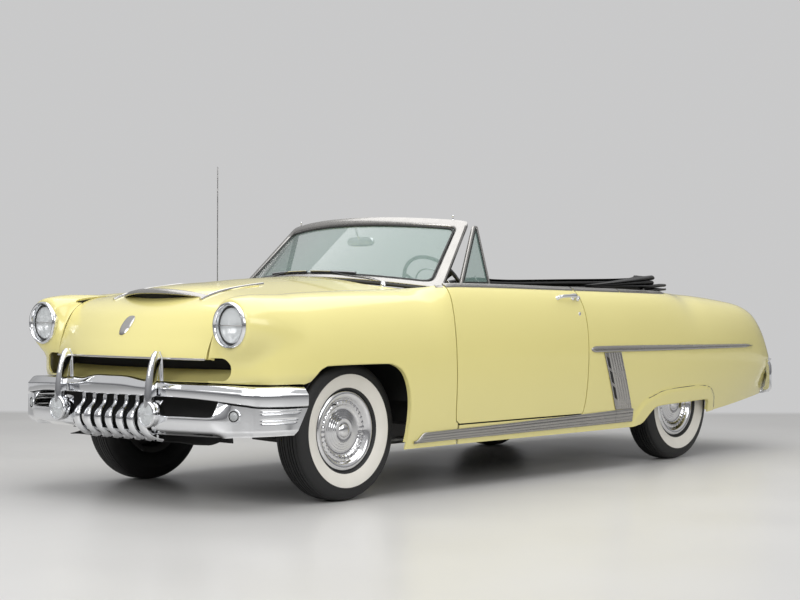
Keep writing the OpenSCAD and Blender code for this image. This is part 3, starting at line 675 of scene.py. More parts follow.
# Rear quarter, with its closed tail and the wall beside the trunk lid
quarter = raw_shell(side_grid(QUARTER_START, TAIL, 230, 52), SKIN)
cut_side(quarter, offset(DOOR, 0.008))
cut_side(quarter, REAR_ARCH, 0.60)
combine(quarter, box_tool((0.3, -0.3, 0.15), (1.0, 0.151, 0.338)))
quarter.name = "quarter_skin_left"
dress(quarter, PAINT, slot="paint")
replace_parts(quarter, "rear_quarter_left")
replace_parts(mirrored(quarter, "quarter_skin_right"), "rear_quarter_right")

end = [side(TAIL, t) for t in np.linspace(0, 2, 40)]
end_ring = [end[0] + A([-0.06, 0, 0])] + end + [end[-1] + A([-0.010, 0, -0.016]), end[0] + A([-0.13, 0, 0.06])]
tail_cap = loft("tail_cap_left", [[p + A([0, d, 0]) for p in end_ring]
                for d in (-0.012, 0.0)], PAINT, slot="paint")
mirrored(tail_cap, "tail_cap_right")
wall = []
for s in np.linspace(19, 24, 40):
    top, drop = side_mm(s, 2), ((s - 19) / 5) ** 1.2
    wall.append([placed((top[0] - 2 * j, top[1] + j * tail_lean(s, 400),
                         top[2] - 2 - j * (40 + (top[2] - 400) * drop))) for j in np.linspace(0, 1, 12)])
tail_wall = shell("tail_wall_left", wall, 0.006, PAINT, slot="paint")
mirrored(tail_wall, "tail_wall_right")

# Rocker panels under the doors
rocker = combine(raw_shell(side_grid(9.5, 14, 60, 40), SKIN),
                 prism(yz([(-751, 200), (299, 200), (299, 337), (-751, 337)]), 0.70, 1.0), "INTERSECT")
rocker.name = "rocker_left"
dress(rocker, PAINT, slot="paint")
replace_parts(rocker, "rockers")
mirrored(rocker, "rocker_right")


# ---------------------------------------------------------------- lids, deck and cowl
def lid(table, s, u):
    r, k = row(table, s), 1 - u * u
    return placed((r[2] * u, r[3] + (r[0] - r[3]) * k, r[4] + (r[1] - r[4]) * k))


def lid_grid(table, ns, nu, way=1):
    last = len(table) - 1
    return A([[lid(table, s, way * u) for u in np.linspace(-1, 1, nu)] for s in np.linspace(0, last, ns)])


hood = shell("hood_skin", lid_grid(HOOD, 130, 81), SKIN, PAINT, body="hood", slot="paint")
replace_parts(hood, "hood")
trunk = shell("trunk_skin", lid_grid(TRUNK, 100, 61, -1), SKIN, PAINT, body="trunk_lid", slot="paint")
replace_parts(trunk, "trunk_lid")


# The scoop's half width, as a share of the hood's
SCOOP_HALF = 0.56


def scoop(v, u):
    p = lid(HOOD, 5 - 2.2 * v, u * SCOOP_HALF)
    lift = 42 * max(1 - u * u, 0) ** 0.6 * (1 - v) ** 1.2
    return p + A([0, 90 * u * u * (1 - v) - 10, 3 + lift]) / 1000


scoop_skin = shell("scoop_skin", [[scoop(v, u) for u in np.linspace(-1, 1, 61)] for v in np.linspace(1, 0, 40)],
                   0.004, PAINT, body="hood", slot="paint")
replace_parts(scoop_skin, "hood_scoop")

deck = []
for i in np.linspace(0, 1, 6):
    deck.append([placed((626 * u, 1642 + 40 * i, 1034 + 22 * (1 - u * u))) for u in np.linspace(1, -1, 49)])
deck = shell("deck_skin", deck, SKIN, PAINT, slot="paint")
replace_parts(deck, "rear_deck")
panel = []
for i in np.linspace(0, 5, 30):
    panel.append([placed((584 * u, 2600 - 18 * u * u + 6 * math.sin(math.radians(i * 36)) - i * i,
                          618 - 52 * i))
                  for u in np.linspace(1, -1, 41)])
shell("rear_valance", panel, SKIN, PAINT, slot="paint")


def shield(u, v):
    """A point of the windshield: u across, v from 0 at its foot to 1 at its top."""
    foot = A([775 * u, -985 + 240 * abs(u) ** 2.2, 1112 - 60 * u * u])
    head = A([672 * u, -578 + 160 * u * u, 1436 - 32 * u * u])
    return placed(foot + (head - foot) * v)


COWL_HALF = [[612], [684], [744], [768]]


def cowl(u, i):
    wide = row(COWL_HALF, i)[0]
    foot = (shield(u, -0.09) - A([0, MID, 0])) * 1000
    front = A([0, -1063 + 83 * u * u * (612 / 613) ** 2, 1110 - 74 * u * u])
    back = A([0, foot[1], foot[2] - 4 + 8 * u * u])
    p = front + (back - front) * i / 3
    return placed((wide * u, p[1], p[2]))


cowl_skin = shell("cowl_skin", [[cowl(u, i) for u in np.linspace(1, -1, 97)] for i in np.linspace(0, 3, 22)],
                  SKIN, PAINT, slot="paint")
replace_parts(cowl_skin, "cowl")


# ---------------------------------------------------------------- front bumper, pan, teeth and guards
BUMPER = [
    [0, -2352, 528, 620], [90, -2350, 528, 620], [150, -2342, 528, 616], [250, -2326, 528, 602],
    [400, -2300, 526, 596], [550, -2274, 522, 592], [650, -2253, 516, 590], [720, -2235, 510, 589],
    [780, -2216, 504, 587], [845, -2192, 498, 585], [884, -2160, 492, 584], [906, -2110, 489, 583],
    [920, -2040, 487, 583], [928, -1960, 486, 582], [930, -1880, 486, 578],
]


BAR_END = len(BUMPER) - 1


def bumper_place(s):
    """The bumper's face line at a station: the point, its outward direction, its low and high edges."""
    r, q, p = row(BUMPER, s), row(BUMPER, min(s + .05, BAR_END)), row(BUMPER, max(s - .05, 0))
    d = A([q[0] - p[0], q[1] - p[1]])
    if s < 0.03:
        d = A([1.0, 0.0])
    d /= np.linalg.norm(d)
    return placed((r[0], r[1], 0)), A([d[1], -d[0], 0]), r[2] / 1000, r[3] / 1000


def both_ways(last, n):
    """Stations from the right end through the middle to the left end."""
    return [(-1, s) for s in np.linspace(last, 0, n)] + [(1, s) for s in np.linspace(0, last, n)[1:]]


BAR_SECTION = [(-0.050, 0.00), (-0.030, -0.02), (-0.010, 0.00), (0.001, 0.05), (0.003, 0.12), (0.004, 0.30),
               (0.004, 0.50), (0.003, 0.60), (-0.001, 0.645), (-0.009, 0.76), (-0.018, 0.88), (-0.028, 0.97),
               (-0.040, 1.0), (-0.052, 0.98), (-0.052, 0.90), (-0.036, 0.90), (-0.020, 0.80), (-0.008, 0.6),
               (-0.006, 0.35), (-0.010, 0.12), (-0.022, 0.06), (-0.036, 0.05), (-0.050, 0.08)]
bar_section = A([row(BAR_SECTION + BAR_SECTION[:1], s) for s in np.linspace(0, len(BAR_SECTION), 93)[:-1]])


def bumper_ring(sign, s):
    p, w, lo, hi = bumper_place(s)
    c = p * A([sign, 1, 1])
    w = w * A([sign, 1, 1])
    return [c + w * o + A([0, 0, lo + k * (hi - lo)]) for o, k in bar_section]


bar = loft(
    "front_bumper_bar", [
        bumper_ring(
            g, s) for g, s in both_ways(
                BAR_END, 90)], CHROME, slot="chrome", smooth=50)
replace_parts(bar, "front_bumper")


def pan_point(sign, s, v):
    """The pan under the bar: v from 0 at its upper edge to 1 at its lower edge, bulging forwards between."""
    p, w, lo, _ = bumper_place(s)
    x = abs(p[0])
    end = step(x, 0.66, 0.74)
    top = (lo - 0.006) * end + 0.505 * (1 - end)
    back = step(p[1], -2.14, -2.05)
    low = 0.346 + 0.010 * step(x, 0.70, 0.90)
    z = top + (low - top) * v
    bulge = 0.040 * math.sin(math.pi * min(max(v, 0), 1)) ** 0.7 * \
    (1 - step(x, 0.66, 0.78)) * (1 - step(0.37 - x, 0, 0.06))
    under = 0.055 * step(v, 0.80, 1.0) * (1 - 0.75 * end)
    out = -0.016 + bulge - under + 0.010 * end
    # The crease where the pan turns the corner
    out += 0.006 * math.exp(-((x - 0.872) / 0.010) ** 2) * (1 - back)
    # Four fine grooves along the wrap-round end
    for zc in (0.474, 0.462, 0.431, 0.418):
        out -= 0.004 * math.exp(-((z - zc) / 0.0032) ** 2) * \
                                step(p[1], -2.30, -2.27) * (1 - step(p[1], -2.10, -2.07))
    c = A([sign * p[0], p[1], z]) + w * A([sign, 1, 1]) * out
    c[1] -= 0.075 * v * step(p[1], -2.20, -2.03)
    return c


stations = both_ways(BAR_END, 130)
pan = raw_shell(A([[pan_point(g, s, v) for v in np.linspace(0, 1, 46)] for g, s in stations]), 0.004)


def slot_prism(x0, x1, z0, z1, r, y0=-2.65, y1=-2.20):
    """A rounded window, as a tool through the pan from the front."""
    pts = []
    for cx, cz, a in ((x1 - r, z1 - r, 0), (x0 + r, z1 - r, 90), (x0 + r, z0 + r, 180), (x1 - r, z0 + r, 270)):
        pts += [(cx + r * math.cos(math.radians(a + d)), cz + r * math.sin(math.radians(a + d)))
                for d in range(0, 91, 15)]
    return loose(*loft_parts([[(x, y, z) for x, z in pts] for y in (y1, y0)]))


for g in (-1, 1):
    a, b = sorted((g * 0.372, g * 0.700))
    combine(pan, slot_prism(a, b, 0.437, 0.56, 0.030, y1=-2.25))
combine(pan, slot_prism(-0.305, 0.305, 0.362, 0.56, 0.02))
pan.name = "bumper_pan"
dress(pan, CHROME, slot="chrome", smooth=50)
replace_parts(pan, "lower_grille")
rim = []
for g in (-1, 1):
    pts = [(0.372, 0.508), (0.372, 0.452), (0.392, 0.437), (0.52, 0.437),
           (0.672, 0.438), (0.696, 0.452), (0.700, 0.478), (0.699, 0.508)]
    path = []
    for x, z in smooth_path(pts, 46):
        s = np.interp(x, [r[0] / 1000 for r in BUMPER], range(BAR_END + 1))
        top = 0.505
        v = (z - top) / (0.348 - top)
        path.append(pan_point(g, s, v) + A([0, -0.001, 0]))
    rim.append(tube("slot_rim", path, 0.0045, CHROME, n=10, slot="chrome"))
join(rim, "pan_slot_rims")
# A flat black sheet behind the pan's slots: painted shade
shell("slot_recess", [[(x, -2.335 + 0.12 * (x / 0.7) ** 2 + MID + 0.15, z) for x in np.linspace(-0.69, 0.69,
        41)]
                      for z in (0.40, 0.47, 0.545)], 0.003, FLAT_BLACK_AND_SHADE)

TOOTH = [(-2.262, 0.552), (-2.262, 0.520), (-2.264, 0.488), (-2.278, 0.462), (-2.300, 0.438), (-2.308, 0.410),
         (-2.300, 0.380), (-2.280, 0.352), (-2.245, 0.330), (-2.190, 0.316)]


def tooth(x):
    path = smooth_path([(x, y + MID - 0.012, z) for y, z in TOOTH], 44)
    scale = []
    for p in path:
        k = step(0.475 - p[2], 0, 0.05)
        scale.append([0.0120 + 0.0120 * k * (1 - 0.25 * step(0.345 - p[2], 0, 0.03)), 0.012 + 0.004 * k])
    sec = [(math.copysign(abs(math.cos(a)) ** 0.75, math.cos(a)), math.copysign(abs(math.sin(a)) ** 0.8,
            math.sin(a)))
           for a in np.linspace(0, 2 * math.pi, 20, endpoint=False)]
    return sweep("tooth", path, sec, CHROME, up=(0, -1, 0.3), scale=scale, slot="chrome")


join([tooth(k * 0.084) for k in range(-3, 4)], "grille_teeth")


def guard():
    """A slim tapered guard over the bar, with a barrel foot that holds a fog lamp."""
    x = 0.350
    parts = []
    path = smooth_path([(x, -2.352 + MID, 0.455), (x, -2.350 + MID, 0.53), (x, -2.343 + MID, 0.60),
                        (x, -2.329 + MID, 0.665), (x, -2.313 + MID, 0.712), (x, -2.306 + MID, 0.738)], 40)
    scale = [[(0.022 - 0.008 * step(p[2], 0.50, 0.72)) * (1 - 0.35 * step(p[2], 0.715, 0.74)),
              0.030 * (1 - 0.4 * step(p[2], 0.715, 0.74))] for p in path]
    sec = [(math.copysign(abs(math.cos(a)) ** 0.7, math.cos(a)), math.copysign(abs(math.sin(a)) ** 0.9,
            math.sin(a)))
           for a in np.linspace(0, 2 * math.pi, 28, endpoint=False)]
    parts.append(sweep("g", path, sec, CHROME, up=(0, -1, 0), scale=scale, slot="chrome"))
    # Its lip behind the bar's top
    parts.append(sweep("g", smooth_path([(x, -2.300 + MID, 0.736), (x, -2.285 + MID, 0.70), (x, -2.280 + MID,
            0.60)], 16),
                       sec, CHROME, up=(0, -1, 0), scale=[[0.013, 0.008]] * 16, slot="chrome"))
    c, back = (x, -2.375 + MID, 0.446), (0, -1, 0)
    parts.append(turn("g", [(0, -0.085), (0.030, -0.085), (0.048, -0.074), (0.057, -0.055), (0.060, -0.030),
                            (0.058, -0.018),
                            (0.062, -0.012), (0.063, -0.004), (0.059, 0.003), (0.053, 0.004), (0.050, -0.002),
                            (0.0, -0.004)], c, back, CHROME, n=56, slot="chrome"))
    body = join(parts, "bumper_guard_left")
    lens = fluted_lens("fog_lens_left", c, 0.050, 0.010, 0.0015, 0.0, 26)
    bar = tube("fog_bar_left", [(x + u, c[1] - 0.0095 + 0.6 * u * u * 4, 0.446) for u in np.linspace(-0.046,
            0.046, 15)],
               0.0028, CHROME, n=8, slot="chrome")
    return body, lens, bar


def fluted_lens(name, centre, r, crown, flute, shift, count):
    """A crowned lens with upright flutes across it."""
    rings, n = [], 72
    for k in np.linspace(0.02, 1, 20):
        pts = []
        for a in np.linspace(0, 2 * math.pi, n, endpoint=False):
            x, z = r * k * math.cos(a), r * k * math.sin(a)
            h = crown * (1 - k * k) + flute * math.sin(math.pi * count * x / r) * (1 - k ** 8)
            pts.append((centre[0] + x, centre[1] - shift - h, centre[2] + z))
        rings.append(pts)
    backs = [[(p[0], centre[1] - shift + 0.003, p[2]) for p in rings[k]] for k in (-1, 0)]
    return loft(name, rings + backs, LENS, slot="lamp_glass", smooth=60)


for ob, name in zip(guard(), ("bumper_guard_right", "fog_lens_right", "fog_bar_right")):
    if "guard" in name:
        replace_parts(ob, "bumper_guards")
    mirrored(ob, name)

# Parking lamps on the pan's corners
s = np.interp(0.785, [r[0] / 1000 for r in BUMPER], range(BAR_END + 1))
face = pan_point(1, s, 0.33)
look = bumper_place(s)[1]
park = [turn("p", [(0, -0.01), (0.031, -0.01), (0.034, 0.004), (0.031, 0.010), (0.026, 0.010), (0.0225, 0.003),
                   (0, 0.003)],
             face, look, CHROME, n=40, slot="chrome"),
        turn("p", [(0, 0.0), (0.0225, 0.002), (0.021, 0.009), (0.012, 0.015), (0.006, 0.016), (0, 0.0165)],
             face, look,
             LENS, n=32, slot="lamp_glass"),
        turn("p", [(0.0225, 0.0), (0.0265, 0.008), (0.0265, 0.011), (0.0225, 0.006)], face, look, RUBBER_AND_SHADE_LINE, n=40)]
park = join(park, "parking_lamp_left")
mirrored(park, "parking_lamp_right")

# ---------------------------------------------------------------- headlamps
c = tuple(LAMP)
bezel = turn("headlamp_bezel_left", [(0.096, -0.085), (0.110, -0.002), (0.111, 0.004), (0.1085, 0.012), (0.103,
        0.018),
             (0.099, 0.018), (0.0945, 0.012), (0.0905, -0.004), (0.0890, -0.016), (0.088, -0.03), (0.06,
                     -0.060),
             (0.02, -0.078), (0, -0.080), (0, -0.088), (0.07, -0.088)], c, (0, -1, 0), CHROME, n=80,
             slot="chrome")
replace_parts(bezel, "headlamps")
mirrored(bezel, "headlamp_bezel_right")
ring_dark = turn("headlamp_seal_left", [(0.0815, -0.012), (0.0895, -0.008), (0.0905, -0.014), (0.0815, -0.018)],
                 c,
                 (0, -1, 0), RUBBER_AND_SHADE_LINE, wrap=True, n=72)
mirrored(ring_dark, "headlamp_seal_right")
lens = fluted_lens("headlamp_lens_left", c, 0.0825, 0.018, 0.0013, -0.010, 22)
mirrored(lens, "headlamp_lens_right")
bar = join([tube("b", [(c[0] + u, c[1] - 0.0095 + 2.3 * u * u, c[2]) for u in np.linspace(-0.080, 0.080, 17)],
                 0.0022,
                 BRIGHT_TRIM, n=8, slot="chrome"),
            turn("b", [(0, -0.06), (0.014, -0.058), (0.017, -0.045), (0.008, -0.03), (0, -0.028)], c, (0, -1,
                    0), FLAT_BLACK_AND_SHADE, n=24)],
           "headlamp_bar_left")
mirrored(bar, "headlamp_bar_right")


# ---------------------------------------------------------------- nose, grille opening and scoop
def edge_trim(name, path, section, normals, mat, body="car", slot="chrome"):
    """A strip laid along a surface: the section is (across, out)."""
    P = A(path)
    T = np.gradient(P, axis=0)
    T /= np.linalg.norm(T, axis=1)[:, None]
    N = A(normals, float)
    N -= T * np.einsum("ij,ij->i", N, T)[:, None]
    N /= np.linalg.norm(N, axis=1)[:, None]
    S = np.cross(T, N)
    sec = A(section, float)
    if sec.ndim == 2:
        sec = np.broadcast_to(sec, (len(P),) + sec.shape)
    R = P[:, None] + S[:, None] * sec[:, :, :1] + N[:, None] * sec[:, :, 1:]
    return loft(name, R, mat, body=body, slot=slot)


# The opening's dark inside and the yellow valance in it
throat = []
for x in np.linspace(-0.70, 0.70, 61):
    y = -2.262 + 0.15 * (x / 0.74) ** 2 + MID
    throat.append([(x, y - 0.004, 0.600), (x, y + 0.03, 0.607), (x, y + 0.09, 0.632), (x, y + 0.13, 0.652)])
shell("nose_valance", throat, 0.004, PAINT, slot="paint")
# A flat black sheet across the nose opening: painted shade inside it
shell("nose_recess", [[(x, -2.08 + 0.10 * (x / 0.74) ** 2 + MID, z) for x in np.linspace(-0.74, 0.74, 31)]
                      for z in np.linspace(0.40, 0.80, 6)], 0.003, FLAT_BLACK_AND_SHADE)
lip = [lid(HOOD, 10 - 0.10, u) for u in np.linspace(-0.995, 0.995, 81)]
sweep("hood_lip_trim", [p + A([0, -0.004, -0.006])
      for p in lip], ring(0.0045, 12, 1.2), BRIGHT_TRIM, body="hood", slot="stainless")
# The gutter under the hood's edges, in the body's colour
for g in (-1, 1):
    shell("hood_gutter_" + ("left" if g > 0 else "right"),
          [[lid(HOOD, t, 0.95 * g) + A([0, 0.016 * step(t, 6, 9), -0.020]), lid(HOOD, t, g) + A([0.004 * g,
                  0.018 * step(t, 6, 9), -0.018]),
            lid(HOOD, t, g) + A([0.030 * g, 0.020 * step(t, 6, 9), -0.022])] for t in np.linspace(1.6, 9.5,
                    56)],
          0.002 * g, PAINT, slot="paint")

# The scoop's mouth, a flat black sheet that is painted shade, and its bright lip
mouth = []
for v, dz in ((0.0, 0), (0.10, 1)):
    mouth.append([scoop(0.02, u) + A([0, 0.006 + 0.02 * dz, -0.004 - 0.045 * max(1 - u * u, 0) ** 0.6 * dz])
                  for u in np.linspace(-0.98, 0.98, 49)])
shell("scoop_mouth", mouth, 0.002, FLAT_BLACK_AND_SHADE, body="hood")
path = [scoop(0.0, u) + A([0, -0.006, 0.001]) for u in np.linspace(-1.0, 1.0, 81)]
section = []
for u in np.linspace(-1, 1, 81):
    w = 0.5 + 0.5 * (1 - abs(u) ** 3)
    section.append([(-0.020 * w, -0.004), (-0.016 * w, 0.004), (0.0, 0.0075), (0.016 * w, 0.0055), (0.024 * w,
            0.0),
                    (0.020 * w, -0.007), (0.0, -0.006)])
normals = [A([0, -0.55, 1.0]) for _ in path]
edge_trim("scoop_lip", path, section, normals, STEEL_TRIM, body="hood", slot="stainless")
for g in (-1, 1):
    strip = [lid(HOOD, s, g * (0.56 - 0.02 * (5 - s))) + A([0, 0, 0.006]) for s in np.linspace(5.02, 2.6, 40)]
    edge_trim("scoop_strip_" + ("left" if g > 0 else "right"), strip, [[(-0.007 * k, -0.004), (-0.005 * k,
            0.003), (0, 0.005),
              (0.005 * k, 0.003), (0.007 * k, -0.004)] for k in np.linspace(1.3, 0.35, 40)],
              [A([0, 0, 1])] * 40, BRIGHT_TRIM, body="hood", slot="stainless")

# A plain shield on the nose where a badge would be
badge = []
for k in np.linspace(0.05, 1, 7):
    pts = []
    for a in np.linspace(0, 2 * math.pi, 40, endpoint=False):
        x = 0.038 * k * math.copysign(abs(math.cos(a)) ** 0.7, math.cos(a)) * \
                                      (1 - 0.28 * max(-math.sin(a), 0) ** 1.3)
        z = 0.046 * k * math.copysign(abs(math.sin(a)) ** 0.8, math.sin(a)) - 0.004
        s = np.interp(0.861 + z, [h[1] / 1000 for h in HOOD[::-1]], range(10, -1, -1))
        p = lid(HOOD, s, x / 0.585)
        pts.append(p + A([0, -0.011 * (1 - k ** 3) - 0.0005, 0.003]))
    badge.append(pts)
loft("nose_shield", badge, BRIGHT_TRIM, body="hood", slot="chrome", smooth=25)


# ---------------------------------------------------------------- wheels
WHEEL_R = 0.345
CENTRES = {"front_left": (0.7365, -1.6485), "front_right": (-0.7365, -1.6485),
           "rear_left": (0.711, 1.3485), "rear_right": (-0.711, 1.3485)}
TREAD = [(0.345, 0.0), (0.345, 0.008), (0.3385, 0.0095), (0.3385, 0.013), (0.345, 0.0145), (0.3448, 0.024),
         (0.3383, 0.0255), (0.3383, 0.029), (0.3445, 0.0305), (0.344, 0.041), (0.3378, 0.0425), (0.3378, 0.046),
         (0.343, 0.0475), (0.341, 0.058), (0.336, 0.060), (0.335, 0.064), (0.337, 0.067)]
BLACK_SIDE = [(0.333, 0.0735), (0.326, 0.0785), (0.314, 0.0838), (0.306, 0.0862), (0.296, 0.0882), (0.2845,
        0.0895),
              (0.2805, 0.0912)]
WHITE = [(0.2785, 0.0918), (0.270, 0.0912), (0.255, 0.0895), (0.240, 0.0862),
         (0.226, 0.0815), (0.215, 0.0762), (0.2115, 0.0745)]
BEAD = [(0.209, 0.0722), (0.205, 0.0685), (0.2005, 0.0640), (0.1985, 0.0600)]


def tyre_mesh(name, hand):
    n = 144
    half = TREAD + BLACK_SIDE + WHITE + BEAD
    back = [(r, -h) for r, h in (TREAD[1:] + BLACK_SIDE + \
                                 [(0.27, 0.0895), (0.235, 0.083), (0.21, 0.073)] + BEAD)][::-1]
    profile = back + half
    rings = []
    for r, h in profile:
        rings.append([(h * hand, r * math.cos(2 * math.pi * k / n), r * \
                     math.sin(2 * math.pi * k / n)) for k in range(n)])
    v, f = loft_parts(rings, cap=False, wrap=True)
    ob = piece(name, v, f, [RUBBER, WHITEWALL], body=None, smooth=32)
    outward(ob)
    lo = min(r for r, _ in WHITE) - 0.0005
    hi = max(r for r, _ in WHITE) + 0.0005
    for p in ob.data.polygons:
        r = max(math.hypot(ob.data.vertices[i].co.y, ob.data.vertices[i].co.z) for i in p.vertices)
        r2 = min(math.hypot(ob.data.vertices[i].co.y, ob.data.vertices[i].co.z) for i in p.vertices)
        x = sum(ob.data.vertices[i].co.x for i in p.vertices) / 4 * hand
        p.material_index = int(x > 0.02 and lo <= r2 and r <= hi)
    return ob


COVER = [(0, 0.0690), (0.012, 0.0690), (0.022, 0.0675), (0.030, 0.0640), (0.0335, 0.0600), (0.036, 0.0560),
         (0.050, 0.0545), (0.0535, 0.0560), (0.057, 0.0560), (0.060,
                                                              0.0525), (0.068, 0.0515), (0.070, 0.0490), (0.080,
                                                                      0.0480),
         (0.082, 0.0455), (0.092, 0.0445), (0.094, 0.0420), (0.104,
                                                             0.0412), (0.106, 0.0390), (0.116, 0.0388), (0.120,
                                                                     0.0400),
         (0.126, 0.0460), (0.131, 0.0500), (0.137, 0.0505), (0.142, 0.0475), (0.150, 0.0470), (0.155, 0.0515),
         (0.161, 0.0600), (0.168, 0.0655), (0.176, 0.0685), (0.184,
                                                             0.0690), (0.191, 0.0675), (0.196, 0.0635), (0.197,
                                                                     0.0590),
         (0.194, 0.0545), (0.188, 0.0530)]
RIM_BACK = [(0.188, 0.045), (0.176, 0.040), (0.172, 0.005), (0.176, -0.050), (0.196, -0.058), (0.199, -0.066),
            (0.192, -0.066), (0.168, -0.058), (0.160, -0.010), (0.156, 0.012), (0.090, 0.004), (0.0, 0.002)]


def cover_mesh(name, hand):
    n = 144
    rings = []
    for r, h in COVER:
        ringp = []
        for k in range(n):
            a = 2 * math.pi * k / n
            # Shallow radial pressings between the steps
            lift = 0.0012 * math.sin(a * 36) * step(r, 0.118, 0.124) * (1 - step(r, 0.150, 0.156))
            ringp.append(((h + lift) * hand, max(r, 1e-5) * math.cos(a), max(r, 1e-5) * math.sin(a)))
        rings.append(ringp)
    for r, h in RIM_BACK:
        rings.append([(h * hand, max(r, 1e-5) * math.cos(2 * math.pi * k / n), max(r,
                1e-5) * math.sin(2 * math.pi * k / n))
                      for k in range(n)])
    v, f = loft_parts(rings)
    ob = outward(piece(name, v, f, [WHEEL_CHROME, CHASSIS], body=None, smooth=30))
    for p in ob.data.polygons:
        x = sum(ob.data.vertices[i].co.x for i in p.vertices) / len(p.vertices) * hand
        p.material_index = int(x < 0.037)
    return ob


WHEEL_CHROME = finish("wheel_cover_chrome", (0.70, 0.70, 0.71), 0.13,
                      1.0, vary=0.08, grain=26, bump=0.05, fine=300)
for corner, (x, y) in CENTRES.items():
    hand = 1 if x > 0 else -1
    place = Vector((x, y, WHEEL_R))
    tyre = tyre_mesh("tyre_skin_" + corner, hand)
    cover = cover_mesh("wheel_cover_" + corner, hand)
    valve_a = math.radians({"front_left": 118, "front_right": 200, "rear_left": 70, "rear_right": 20}[corner])
    stem = A([0, math.cos(valve_a), math.sin(valve_a)])
    valve = tube("valve_" + corner, [A([0.050 * hand, 0, 0]) + stem * 0.147, A([0.062 * hand, 0,
            0]) + stem * 0.1475,
                 A([0.068 * hand, 0, 0]) + stem * 0.148], 0.0042, RUBBER_AND_SHADE_LINE, n=10, up=(0, 0.3, 1), body=None)
    for ob, slot in ((tyre, "tyre"), (cover, "wheel_cover"), (valve, "tyre")):
        ob.data.transform(Matrix.Translation(place))
        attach(ob, "wheel_" + corner)
        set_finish(ob, slot)
    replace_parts(tyre, "tyre_" + corner)
    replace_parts(cover, "wheel_" + corner)


# ---------------------------------------------------------------- windshield
def shield_normal(u, v):
    n = np.cross(shield(u, v + .01) - shield(u, v - .01), shield(u + .01, v) - shield(u - .01, v))
    n /= np.linalg.norm(n)
    return n if n[1] < 0 else -n


def shield_strip(name, uv, section, mat, wrap=False, **kw):
    """A trim strip over the windshield's surface: the section is (across, out)."""
    P = A([shield(u, v) for u, v in uv])
    N = A([shield_normal(min(max(u, -1), 1), v) for u, v in uv])
    T = (np.roll(P, -1, 0) - np.roll(P, 1, 0)) if wrap else np.gradient(P, axis=0)
    T /= np.linalg.norm(T, axis=1)[:, None]
    S = np.cross(T, N)
    S /= np.linalg.norm(S, axis=1)[:, None]
    sec = A(section, float)
    R = P[:, None] + S[:, None] * sec[None, :, :1] + N[:, None] * sec[None, :, 1:]
    return loft(name, R, mat, wrap=wrap, **kw)


def rounded(u0, u1, v0, v1, ru, rv, n=10):
    pts = []
    for cu, cv, a in ((u1 - ru, v1 - rv, 0), (u0 + ru, v1 - rv, 90),
                      (u0 + ru, v0 + rv, 180), (u1 - ru, v0 + rv, 270)):
        pts += [(cu + ru * math.cos(math.radians(a + d)), cv + rv * math.sin(math.radians(a + d)))
                for d in np.linspace(0, 90, n)]
    out = []
    for (a, b), (c, d) in zip(pts, pts[1:] + pts[:1]):
        k = max(1, int(max(abs(c - a), abs(d - b)) / 0.05))
        out += [(a + (c - a) * i / k, b + (d - b) * i / k) for i in range(k)]
    return out


# Header, pillars and foot, as one outer frame with a step down to the rubber
outer, inner = rounded(-1.005, 1.005, -0.03, 1.035, 0.03,
                       0.05), rounded(-0.935, 0.935, 0.055, 0.925, 0.05, 0.07)
OUTLINE_POINTS = 220


def resample(pts, n):
    P = A(pts + pts[:1], float)
    d = np.concatenate([[0], np.cumsum(np.linalg.norm(np.diff(P, axis=0), axis=1))])
    return [tuple(np.interp(t, d, P[:, k]) for k in (0, 1)) for t in np.linspace(0, d[-1], n, endpoint=False)]


centre = (0.0, 0.49)
angles = np.linspace(0, 2 * math.pi, OUTLINE_POINTS, endpoint=False)


def by_angle(pts):
    """The outline's point at each angle round the middle, so two outlines match up."""
    P = A(resample(pts, 1400))
    a = np.unwrap(np.arctan2((P[:, 1] - centre[1]) * 1.9, P[:, 0] - centre[0]))
    order = np.argsort(a)
    a, P = a[order], P[order]
    want = (angles - a[0]) % (2 * math.pi) + a[0]
    return [tuple(np.interp(w, np.append(a, a[0] + 2 * math.pi), np.append(P[:, k], P[0, k]))
                  for k in (0, 1)) for w in want]


oo, ii = by_angle(outer), by_angle(inner)
rings = []
for k, lift in ((0.0, -0.020), (0.0, 0.004), (0.10, 0.011), (0.45, 0.0135),
                (0.80, 0.009), (0.95, 0.003), (1.0, -0.004), (1.0, -0.022)):
    rings.append([shield(o[0] + (i[0] - o[0]) * k, o[1] + (i[1] - o[1]) * k)
                  + shield_normal(min(max(o[0] + (i[0] - o[0]) * k, -1), 1), o[1]) * lift for o, i in zip(oo,
                          ii)])
surround = outward(
    piece(
        "windshield_surround",
        *
        loft_parts(
            rings,
            cap=False,
            wrap=True),
            STEEL_TRIM,
             slot="stainless"))
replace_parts(surround, "windshield_frame")
seal = by_angle(rounded(-0.925, 0.925, 0.068, 0.912, 0.05, 0.07))
shield_strip("windshield_seal", seal, [(-0.007, -0.006), (-0.005, 0.002), (0.0, 0.0045), (0.005, 0.002), (0.007,
        -0.006)],
             RUBBER_AND_SHADE_LINE, wrap=True)
pane = shell("windshield_pane", [[shield(u, v) - shield_normal(u, v) * 0.004 for u in np.linspace(0.925, -0.925,
        61)]
                                 for v in np.linspace(0.065, 0.915, 22)], 0.005, GLASS, slot="glass")
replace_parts(pane, "windshield_glass")
